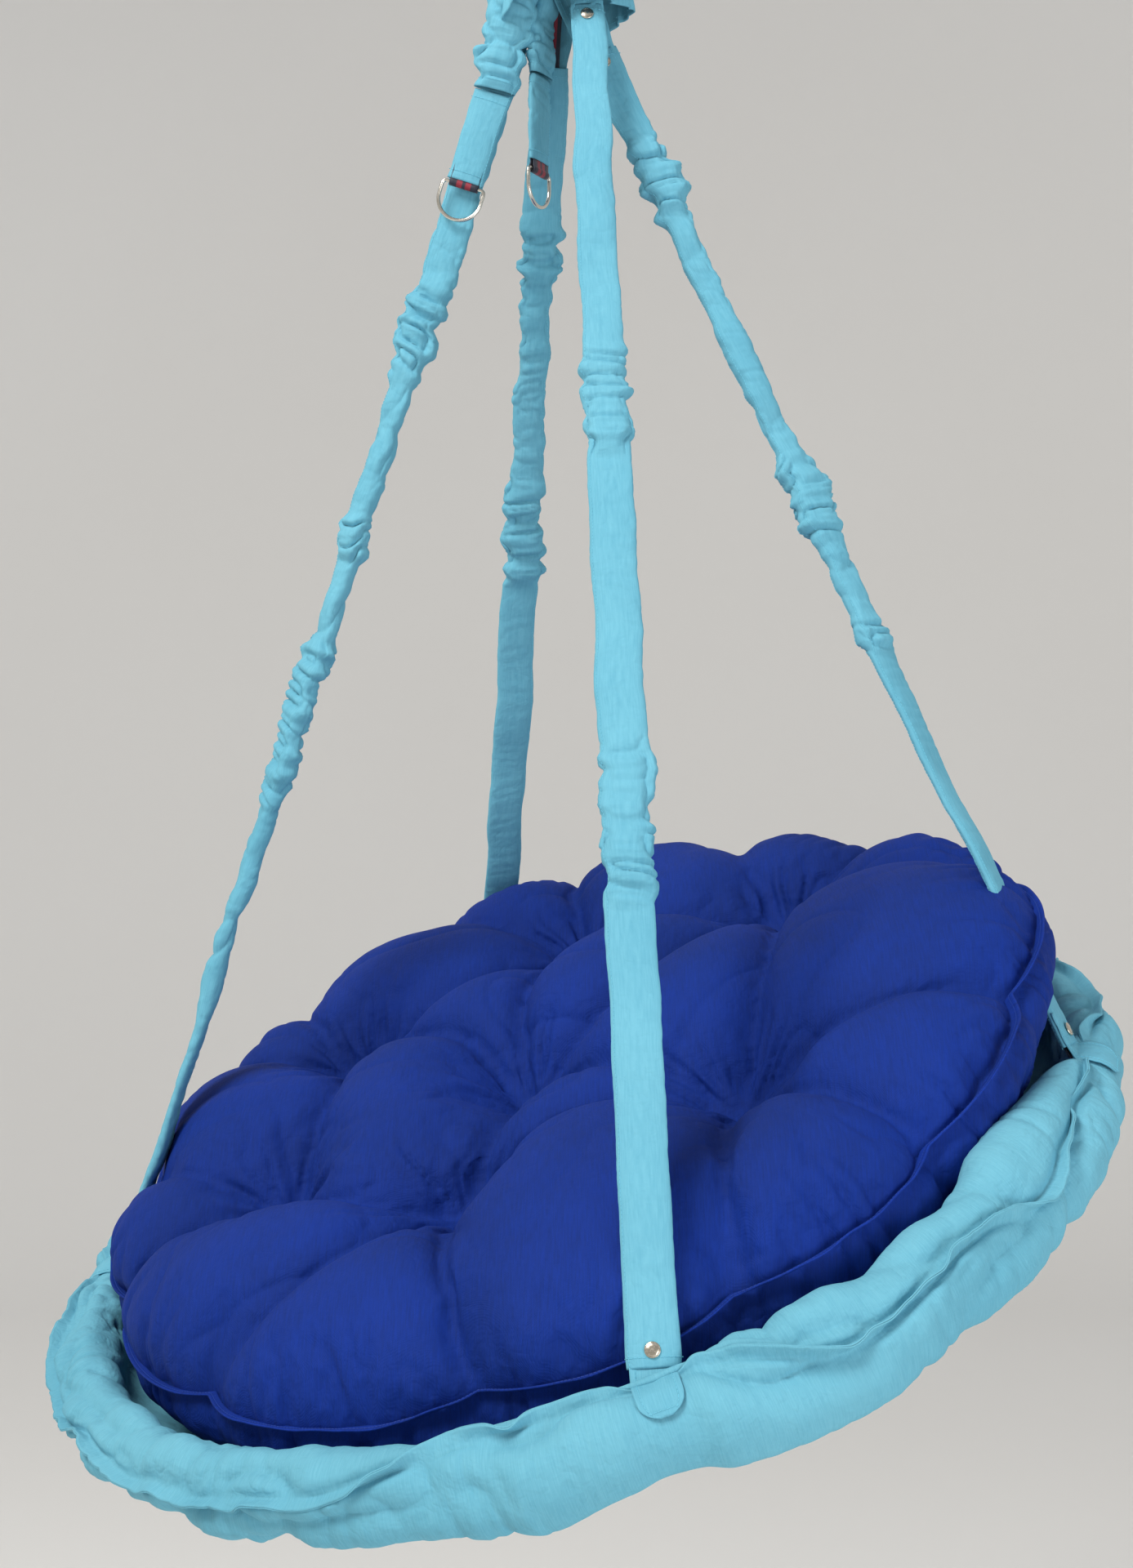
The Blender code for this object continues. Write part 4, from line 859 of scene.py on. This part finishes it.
def crease_top(piece):
    """Sharp creases that run out from each button, and soft long ones between them."""
    points = coordinates(piece.data)
    normals = np.empty(len(points) * 3, np.float32)
    piece.data.vertices.foreach_get("normal", normals)
    normals = normals.reshape(-1, 3).astype(float)
    drop = np.zeros(len(points))
    for i, place in enumerate(tuft_places):
        away = points[:, :2] - place
        distance = np.linalg.norm(away, axis=1)
        u = np.arctan2(away[:, 1], away[:, 0]) / (2 * math.pi)
        u = u + 0.012 * waves(u, distance / 0.2, 9, 6, 60 + i)
        rays = 1 - bulges(u, distance / 0.16, 26, 3, 70 + i)
        fine = 1 - bulges(u, distance / 0.10, 58, 3, 80 + i)
        drop += 0.0066 * rays * np.exp(-((distance - 0.045) / 0.045) ** 2)
        drop += 0.0016 * fine * np.exp(-((distance - 0.030) / 0.026) ** 2)
    u = np.arctan2(points[:, 1], points[:, 0]) / (2 * math.pi)
    radius = np.hypot(points[:, 0], points[:, 1])
    edge = 1 - bulges(u + 0.004 * waves(u, radius, 50, 8, 90), (radius - 0.36) / 0.14, 120, 2, 91)
    drop += 0.0052 * edge * ease(0.40, 0.478, radius) * (points[:, 2] > -0.06)
    x, y = points[:, 0] + 0.5, points[:, 1] + 0.5
    bent = y + 0.05 * waves(x, y, 5, 5, 92)
    drop += 0.0042 * (1 - bulges(x + 0.06 * waves(x, y, 6, 6, 93), bent, 7, 11, 94)) ** 2
    drop *= ease(-0.095, -0.06, points[:, 2])
    points -= normals * drop[:, None]
    piece.data.vertices.foreach_set("co", points.astype(np.float32).ravel())


def lean_up(points):
    """The cushion's right end rises against the rim and stands out over it."""
    turn = math.radians(-4)
    along = points[..., 0] * math.cos(turn) + points[..., 1] * math.sin(turn)
    share = ease(0.30, 0.53, along)[..., None]
    return points * (1 + share * (0.075, 0.060, 0)) + share * (0, 0, 0.048)


crease_top(cushion)
points = lean_up(coordinates(cushion.data))
cushion.data.vertices.foreach_set("co", points.astype(np.float32).ravel())
cushion.data.transform(cushion_frame)
cushion.data.shade_smooth()
blue = cotton_cloth("royal_blue_cotton_twill", "04256F", "062C84", 0.0034, 0.03, twill=True,
                    own_uv=False)
finish_cloth(cushion, blue)
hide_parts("cushion")

# The top seam stands up as a thin edge, stitched through just under its fold.
seam_turn = np.linspace(0, 2 * math.pi, 1081)[:-1]
seam_wave = waves(seam_turn / (2 * math.pi), 0 * seam_turn, 110, 1, 51)
seam_rows = []
for share in np.linspace(0, 1, 6):
    reach = seam_radius(seam_turn) - 0.003 + 0.0085 * share
    lift = 0.001 + 0.0045 * share ** 1.5 + 0.0016 * seam_wave * share
    seam_rows.append(np.stack([reach * np.cos(seam_turn), reach * np.sin(seam_turn), lift], -1))
seam_grid = into(cushion_frame, lean_up(np.array(seam_rows)))
seam = skin("cushion_seam_edge", seam_grid, wrap_columns=True, flat=flat_of(seam_grid, 3.06))
thicken(seam, 0.0018)
# The buttons' cloth is a much lighter copy of the blue twill: painted highlight for the light caught
# where the cloth is stretched over the button domes.
blue_button_cloth_painted_highlight = cotton_cloth("royal_blue_cotton_twill_button_painted_highlight", "3158B8", "5C7CC8", 0.001,
                                 0.2, twill=True, own_uv=False)
seam_blue = cotton_cloth("royal_blue_cotton_twill_seam", "05246C", "083090", 0.0015, 0.05,
                         twill=True)
finish_cloth(seam, seam_blue)
seam_stitches = sew("cushion_seam_stitches", [above(seam_grid[3], seam_grid[4], 0.2, -0.0012)],
                    blue_thread, closed=True)
# Each button gets the lighter blue, a painted highlight.
for number in range(7):
    button = coat(f"tuft_button_{number}", blue_button_cloth_painted_highlight)
    change = button.modifiers.new("soft_edge", 'BEVEL')
    change.width, change.segments = 0.0012, 3

# ---------------------------------------------------------------- sleeves
# Each sling runs inside a flat tube of the same cotton that is longer than the sling, so it
# bunches up in places between smooth stretches.  One edge is sewn flat and topstitched.
SLEEVE_FOOT = 0.042
# name: (height, half width, half thickness, how scrunched) up the sleeve, in metres
SLEEVES = {
    "front": [(0.04, .0215, .0040, .05), (0.43, .0215, .0042, .05), (0.455, .0205, .0070, .8),
              (0.50, .0200, .0070, .55), (0.57, .0210, .0060, .7), (0.60, .0215, .0044, .08),
              (0.88, .0205, .0044, .08), (0.897, .0180, .0075, .9), (0.93, .0200, .0066, .55),
              (0.985, .0200, .0070, .9), (1.005, .0190, .0044, .10), (1.42, .0172, .0040, .05)],
    "left": [(0.04, .0215, .0040, .05), (0.12, .0210, .0046, .10), (0.28, .0180, .0055, .15),
             (0.36, .0115, .0070, .10), (0.53, .0115, .0070, .15), (0.575, .0190, .0085, .95),
             (0.66, .0200, .0075, .8), (0.722, .0190, .0085, 1.0), (0.74, .0115, .0070, .15),
             (0.82, .0110, .0070, .12), (0.832, .0165, .0085, .95), (0.862, .0165, .0085, .95),
             (0.875, .0115, .0070, .12), (1.01, .0120, .0070, .2), (1.05, .0190, .0085, 1.0),
             (1.12, .0190, .0085, .95), (1.14, .0180, .0055, .2), (1.40, .0175, .0042, .08)],
    "back": [(0.04, .0210, .0040, .05), (0.585, .0205, .0042, .06), (0.605, .0190, .0085, 1.0),
             (0.695, .0190, .0085, .95), (0.72, .0170, .0060, .25), (0.80, .0150, .0055, .35),
             (0.93, .0150, .0055, .35), (0.945, .0185, .0085, 1.0), (0.99, .0185, .0085, .9),
             (1.01, .0190, .0050, .15), (1.10, .0190, .0044, .1), (1.17, .0190, .0042, .06)],
    "right": [(0.04, .0205, .0040, .05), (0.46, .0180, .0048, .12), (0.472, .0180, .0080, .9),
              (0.49, .0175, .0075, .7), (0.505, .0140, .0060, .15), (0.58, .0135, .0060, .2),
              (0.600, .0185, .0088, 1.0), (0.668, .0190, .0088, .9), (0.69, .0120, .0065, .2),
              (0.82, .0125, .0065, .15), (0.955, .0125, .0062, .2), (0.975, .0185, .0090, 1.0),
              (1.045, .0190, .0090, .95), (1.06, .0150, .0050, .15), (1.10, .0180, .0042, .05),
              (1.17, .0190, .0040, .05)],
}
SECTION = 72


def cloth_tube(place, start, end, knots, seed, middle=0.0010, wander=0.0018):
    """Rows of points round a flat tube.  place turns heights, asides and outwards to points."""
    length = end - start
    height = np.linspace(start, end, int(length / 0.0021))[:, None]
    v = (height - start) / length
    at, wide, deep, scrunch = np.array(knots).T
    wide, deep = np.interp(height, at, wide), np.interp(height, at, deep)
    scrunch = np.interp(height, at, scrunch)
    u = np.linspace(0, 1, SECTION + 1)[None, :-1]
    cells = int(length / 0.0115)
    left = waves(0.1 + 0 * v, v, 5, cells, seed) * 0.0050 * scrunch
    right = waves(0.6 + 0 * v, v, 5, cells, seed) * 0.0050 * scrunch
    slow = waves(0.3 + 0 * v, v, 5, int(length * 19) + 1, seed + 1) * 0.0016
    turn = 2 * math.pi * u
    side = np.sign(np.cos(turn)) * np.abs(np.cos(turn)) ** 0.62
    face = np.sign(np.sin(turn)) * np.abs(np.sin(turn)) ** 0.85
    slip = v + (0.0045 + 0.0045 * scrunch) / length * waves(u, v, 3, int(length * 14) + 1, seed + 2) \
        + 0.0035 / length * side
    ripple = bulges(u, slip, 4, cells, seed + 3) * 0.0090 \
        + bulges(u + 0.1 * v, slip, 7, int(cells * 1.9), seed + 4) * 0.0030
    soft = waves(u, slip, 4, int(length * 16) + 1, seed + 5) * 0.0010
    rolled = 1 - ease(0.0125, 0.0170, wide)
    spiral = bulges(u + v * length / 0.19, v, 3, int(length * 22) + 1, seed + 8)
    wrinkle = scrunch * (ripple - 0.0042) + (1 - 0.6 * scrunch) * soft \
        + rolled * (1 - scrunch) * (spiral * 0.0062 - 0.0026)
    wrinkle = wrinkle * (0.25 + 0.75 * ease(0, 0.010, height - start) * ease(0, 0.010, end - height))
    aside = side * (wide + wrinkle * 0.55) + slow + np.where(side < 0, -left, right) * np.abs(side)
    inner = ease(0.03, 0.08, height - start) * ease(0.03, 0.08, end - height)
    outward = face * (deep + wrinkle) + middle \
        + waves(0.8 + 0 * v, v, 5, int(length * 15) + 1, seed + 7) * wander * inner
    grid = place(height + 0 * u, aside, outward)
    around = np.linspace(0, 4.4 * float(np.mean(wide)), SECTION + 1)[None, :]
    flat = np.stack(np.broadcast_arrays(around, v * length * 1.12), -1)
    return grid, flat


def tube_stitches(name, grid, body="seat"):
    """Topstitching beside one edge on both faces, and a row at each hem."""
    normal = np.cross(np.roll(grid, -1, 1) - np.roll(grid, 1, 1), np.gradient(grid, axis=0))
    normal /= np.linalg.norm(normal, axis=2)[..., None]
    outwards = np.sign(np.sum(normal * (grid - grid.mean(axis=1, keepdims=True)), axis=2))
    outside = grid + normal * 0.0007 * outwards[..., None]
    lines = [outside[:, int(SECTION * share)] for share in (0.415, 0.585)]
    lines += [np.concatenate([outside[k], outside[k][:1]]) for k in (4, len(grid) - 5)]
    sewn = sew(name, lines, turquoise_thread, body)
    return sewn


turquoise_sleeve = cotton_cloth("turquoise_cotton_plain_weave_sleeve", "5EA2B9", "6BAEC3", 0.0030,
                                0.10)
for seed, (name, strap) in enumerate(straps.items()):
    grid, flat = cloth_tube(strap.place, SLEEVE_FOOT, strap.hem, SLEEVES[name], 200 + 20 * seed)
    sleeve = skin("sleeve_cloth_" + name, grid, wrap_columns=True, flat=flat)
    thicken(sleeve, 0.0010)
    finish_cloth(sleeve, turquoise_sleeve)
    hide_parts("sleeve_" + name)
    sewn = tube_stitches("sleeve_stitches_" + name, grid)

# ---------------------------------------------------------------- tongues
# A doubled flap with a rounded end is sewn in at each end of each sling, and the sleeve snaps
# to it.  The lower ones lie over the rim; the upper ones run up inside the top cover.
TONGUE_WIDTH = 0.040


def flap(name, middle, across, width, body="seat", tip=0.0, wrinkle=0.0004, seed=300,
         thick=0.0015):
    """A flat strip along rows of (middle, across) with a rounded end, and its topstitching."""
    middle, across = np.array(middle), np.array(across)
    along = np.concatenate([[0], np.cumsum(np.linalg.norm(np.diff(middle, axis=0), axis=1))])
    half = np.broadcast_to(np.asarray(width, float) / 2, along.shape).copy()
    if tip:
        left = np.clip((along[-1] - along) / tip, 0, 1)
        half *= np.maximum(0.06, 1 - (1 - left) ** 2.4) ** 0.5
    share = np.linspace(-1, 1, 25)
    face = np.cross(np.gradient(middle, axis=0), across)
    face /= np.linalg.norm(face, axis=1)[:, None]
    lift = waves(share[None, :] * 0.25 + 0.25, along[:, None] / along[-1], 9, 12, seed) * wrinkle
    grid = middle[:, None] + across[:, None] * (half[:, None] * share)[..., None] \
        + face[:, None] * lift[..., None]
    flat = np.stack(np.broadcast_arrays(half[:, None] * share, along[:, None]), -1)
    piece = skin(name, grid, flat=flat)
    thicken(piece, thick)
    finish_cloth(piece, turquoise_sleeve, body)
    lines = []
    for up in (1, -1):
        raised = grid + face[:, None] * up * (thick / 2 + 0.0002)
        rows = slice(2, len(grid) - (3 if tip else 1))
        lines += [raised[rows, 3], raised[rows, 21]]
        if tip:
            lines.append(raised[-4, 3:22])
    sewn = sew(name + "_stitches", lines, turquoise_thread, body)
    return piece, sewn, along[-1]


for seed, (name, strap) in enumerate(straps.items()):
    layer = 0.0034
    heights = np.linspace(SLEEVE_FOOT + 0.034, SLEEVE_FOOT + 0.004, 10)
    middle = [strap.place(h, 0.0, layer) for h in heights]
    across = [strap.across(h) for h in heights]
    tangent = strap.tangent if strap.tangent @ strap.across(0.0) > 0 else -strap.tangent
    radius = 0.0322
    centre = strap.foot + strap.tangent * strap.slant * radius
    for bend in np.linspace(math.asin(0.0062 / radius), 1.62, 26):
        away = strap.foot_along * math.cos(bend) + strap.foot_out * math.sin(bend)
        middle.append(centre + away * radius)
        across.append(tangent)
    lower, sewn, length = flap(f"tongue_cloth_{name}_lower", middle, across, TONGUE_WIDTH,
                               tip=0.020, seed=310 + seed)
    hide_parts(f"tongue_{name}_lower")
    end = strap.length + (0.010 if name in ("back", "right") else -0.055)
    heights = np.linspace(strap.hem - 0.034, end, 24)
    stand = layer + 0.0075 * ease(strap.hem, strap.hem + 0.030, heights)
    middle = strap.place(heights, 0.0, stand)
    upper, sewn, length = flap(f"tongue_cloth_{name}_upper", middle, strap.across(heights),
                               0.0335 + 0.0080 * ease(strap.hem, strap.hem + 0.03, heights),
                               wrinkle=0.0016, seed=320 + seed)
    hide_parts(f"tongue_{name}_upper")

# ---------------------------------------------------------------- press studs
# Nickel press studs with a domed cap and a rolled edge, one through each sleeve end into the
# tongue under it.  The posts behind the cloth stay as they are.
CAP_RADIUS = 0.00675
cap_profile = [(0.0004, 0.00245), (0.0020, 0.0024), (0.0040, 0.00215), (0.0052, 0.00175),
               (0.0057, 0.00150), (0.0060, 0.00165), (0.0064, 0.00160), (CAP_RADIUS, 0.00110),
               (CAP_RADIUS, 0.00050), (0.0063, 0.0001), (0.0022, 0.0), (0.0019, -0.0010),
               (0.0019, -0.0020), (0.0050, -0.0022), (0.0050, -0.0034), (0.0004, -0.0034)]
cap_metal = nickel_plated_steel("nickel_plated_brass_stud", "BDB3A2", "DAD2C4", 0.22)
cap_turns = np.linspace(0, 2 * math.pi, 33)[:-1]
for name, strap in straps.items():
    for end, height in (("lower", SLEEVE_FOOT + 0.014), ("upper", strap.hem - 0.014)):
        out, across = strap.out(height), strap.across(height)
        seat_at = strap.place(height, 0.0, 0.0068)
        up = np.cross(out, across)
        radii, rises = np.array(cap_profile)[:, 0], np.array(cap_profile)[:, 1]
        grid = seat_at + (radii[:, None] * np.cos(cap_turns))[..., None] * across \
            + (radii[:, None] * np.sin(cap_turns))[..., None] * up \
            + (rises[:, None] + 0 * cap_turns)[..., None] * out
        cap = skin(f"press_stud_{name}_{end}", grid, wrap_columns=True)
        shape = bmesh.new()
        shape.from_mesh(cap.data)
        bmesh.ops.holes_fill(shape, edges=[e for e in shape.edges if e.is_boundary], sides=0)
        bmesh.ops.recalc_face_normals(shape, faces=shape.faces)
        shape.to_mesh(cap.data)
        shape.free()
        cap.data.shade_smooth()
        cap.data.materials.append(cap_metal)
        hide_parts(f"stud_cap_{name}_{end}")
        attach(cap, "seat")
        coat(f"stud_post_{name}_{end}", cap_metal)

# ---------------------------------------------------------------- top cover
# A short skirt of cotton, gathered at its neck, hides the ring, the hook and the webbing eyes.
# It falls in deep folds to an uneven hem.
cover_turn = np.linspace(0, 2 * math.pi, 361)[:-1]
u = cover_turn / (2 * math.pi)
hem_drop = 0.004 + 0.010 * waves(u, 0 * u, 7, 1, 401) \
    + 0.024 * np.exp(-((cover_turn - math.pi * 1.08) / 0.55) ** 2)
cover_rows = []
for share in np.linspace(0, 1, 44):
    z = -0.0842 - (0.098 + hem_drop) * share
    body = 0.050 + 0.014 * share + 0.004 * math.sin(math.pi * share)
    deep = 0.0065 * waves(u + 0.01 * waves(u, share + 0 * u, 9, 4, 402), share + 0 * u, 13, 1, 403)
    fine = 0.0050 * (bulges(u + 0.02 * share, share + 0 * u, 34, 2, 404) - 0.5)
    neck = 0.0040 * (bulges(u, 0 * u, 52, 1, 405) - 0.5) * (1 - ease(0.0, 0.35, share))
    radius = body + (deep + fine) * (0.35 + 0.65 * share) + neck
    cover_rows.append(np.stack([radius * np.cos(cover_turn), radius * np.sin(cover_turn),
                                z + 0 * u], -1))
neck_rows = [np.array(cover_rows[0]) * (s, s, 1) + (0, 0, lift)
             for s, lift in ((0.72, 0.0015), (0.86, 0.0032), (0.95, 0.0020))]
cover_grid = np.array(neck_rows + cover_rows)
top_cloth = skin("top_cover_cloth", cover_grid, wrap_columns=True, flat=flat_of(cover_grid, 0.46))
thicken(top_cloth, 0.0012)
finish_cloth(top_cloth, turquoise_sleeve)
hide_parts("top_cover")
hem_line = above(cover_grid[-4], cover_grid[-3], 0.5, 0.0009)
cover_stitches = sew("top_cover_stitches", [hem_line], turquoise_thread, closed=True)

# ---------------------------------------------------------------- tilt tabs
# Two tabs of webbing in turquoise cotton hang below the top cover, and each holds a wire D-ring
# in its folded end.  The left one's cloth is gathered where it comes down from the cover.
TABS = {
    "left": ((-0.0747, -0.0037, -0.2782), (-0.1051, 0.0028, -0.3731), (-0.95222, 0, 0.3054)),
    "back": ((-0.027, 0.012, -0.2562), (-0.027, 0.012, -0.3561), (-0.46947, -0.88295, 0)),
}


def straight(top, low, across):
    """Places along a straight line from its top down: how far down, aside and out."""
    top, low, across = np.array(top), np.array(low), np.array(across)
    down = unit(low - top)
    out = unit(np.cross(across, down))
    across = np.cross(down, out)

    def place(height, aside=0.0, outward=0.0):
        height, aside, outward = np.broadcast_arrays(height, aside, outward)
        return top + down * height[..., None] + across * aside[..., None] \
            + out * outward[..., None]
    return place, np.linalg.norm(low - top)


def wire_ring(name, place, bar_at):
    """A D-ring of round wire: its straight bar lies across the tab and its bow hangs below."""
    half, corner, rise = 0.0225, 0.0040, 0.0225
    path = [(x, 0.0) for x in np.linspace(-half + corner, half - corner, 12)]
    path += [(half - corner + corner * math.sin(a), corner - corner * math.cos(a))
             for a in np.linspace(0.25, math.pi / 2, 6)]
    path += [(half * math.cos(a), 0.0145 + rise * math.sin(a))
             for a in np.linspace(0, math.pi, 40)]
    path += [(-half + corner - corner * math.sin(a), corner - corner * math.cos(a))
             for a in np.linspace(math.pi / 2, 0.25, 6)]
    path = np.array(path)
    along = np.roll(path, -1, 0) - np.roll(path, 1, 0)
    along /= np.linalg.norm(along, axis=1)[:, None]
    outside = np.stack([along[:, 1], -along[:, 0]], -1)
    turns = np.linspace(0, 2 * math.pi, 17)[:-1]
    wire = 0.0020
    aside = path[:, :1] + outside[:, :1] * wire * np.cos(turns)
    down = bar_at + path[:, 1:] + outside[:, 1:] * wire * np.cos(turns)
    grid = place(down, aside, wire * np.sin(turns) + 0 * down)
    made = skin(name, grid, wrap_rows=True, wrap_columns=True)
    shape = bmesh.new()
    shape.from_mesh(made.data)
    bmesh.ops.recalc_face_normals(shape, faces=shape.faces)
    shape.to_mesh(made.data)
    shape.free()
    made.data.shade_smooth()
    made.data.materials.append(nickel)
    return made


for seed, (name, (edge, bar, across)) in enumerate(TABS.items()):
    body = name + "_tab"
    place, length = straight(edge, bar, across)
    end = length - (0.0035 if name == "left" else 0.0100)
    knots = [(0.0, .0195, .0030, .15), (0.03, .0190, .0026, .04), (end, .0190, .0030, .04)]
    if name == "back":
        knots = [(0.0, .0185, .0040, .35), (0.05, .0190, .0036, .15), (end, .0190, .0032, .05)]
    grid, flat = cloth_tube(place, 0.0, end, knots, 420 + 20 * seed, 0.0, 0.0)
    tab = skin("tab_cloth_" + name, grid, wrap_columns=True, flat=flat)
    thicken(tab, 0.0010)
    finish_cloth(tab, turquoise_sleeve, body)
    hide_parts("tab_" + name)
    sewn = tube_stitches("tab_stitches_" + name, grid, body)
    rows = [(length - along, aside) for along, aside in eye(0.0034, 0.0068, 18)]
    rows = [(0.030, 0.0009)] + rows + [(length - 0.0068, -0.0009), (0.030, -0.0009)]
    rows = np.array(rows)
    share = np.linspace(-1, 1, 9)
    loop = place(rows[:, :1], 0.0155 * share, rows[:, 1:])
    along = np.concatenate([[0], np.cumsum(np.linalg.norm(np.diff(rows, axis=0), axis=1))])
    flat = np.stack(np.broadcast_arrays(0.0150 * share, along[:, None]), -1)
    band = skin("webbing_loop_" + name, loop, flat=flat)
    thicken(band, 0.0014)
    finish_cloth(band, webbing, body)
    ring = wire_ring("d_ring_wire_" + name, place, length)
    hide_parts("d_ring_" + name)
    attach(ring, name + "_ring")

# The cloth of both tabs comes down gathered out of the top cover.
CASINGS = {
    "left": ((-0.046, -0.014, -0.160), (-0.0738, -0.0040, -0.2752), (-0.95222, -0.05, 0.3054),
             [(0, .0240, .0120, .5), (.05, .0235, .0105, .7), (.085, .0215, .0080, 1.0),
              (.13, .0205, .0050, .5)]),
    "back": ((-0.019, 0.004, -0.160), (-0.027, 0.012, -0.2532), (-0.46947, -0.88295, 0),
             [(0, .0220, .0100, .6), (.05, .0200, .0075, .8), (.12, .0185, .0042, .5)]),
}
for seed, (name, (top, low, across, knots)) in enumerate(CASINGS.items()):
    place, length = straight(top, low, across)
    grid, flat = cloth_tube(place, 0.0, length, knots, 460 + 20 * seed)
    casing = skin("tab_casing_" + name, grid, wrap_columns=True, flat=flat)
    thicken(casing, 0.0010)
    finish_cloth(casing, turquoise_sleeve)
    sewn = tube_stitches("tab_casing_stitches_" + name, grid)
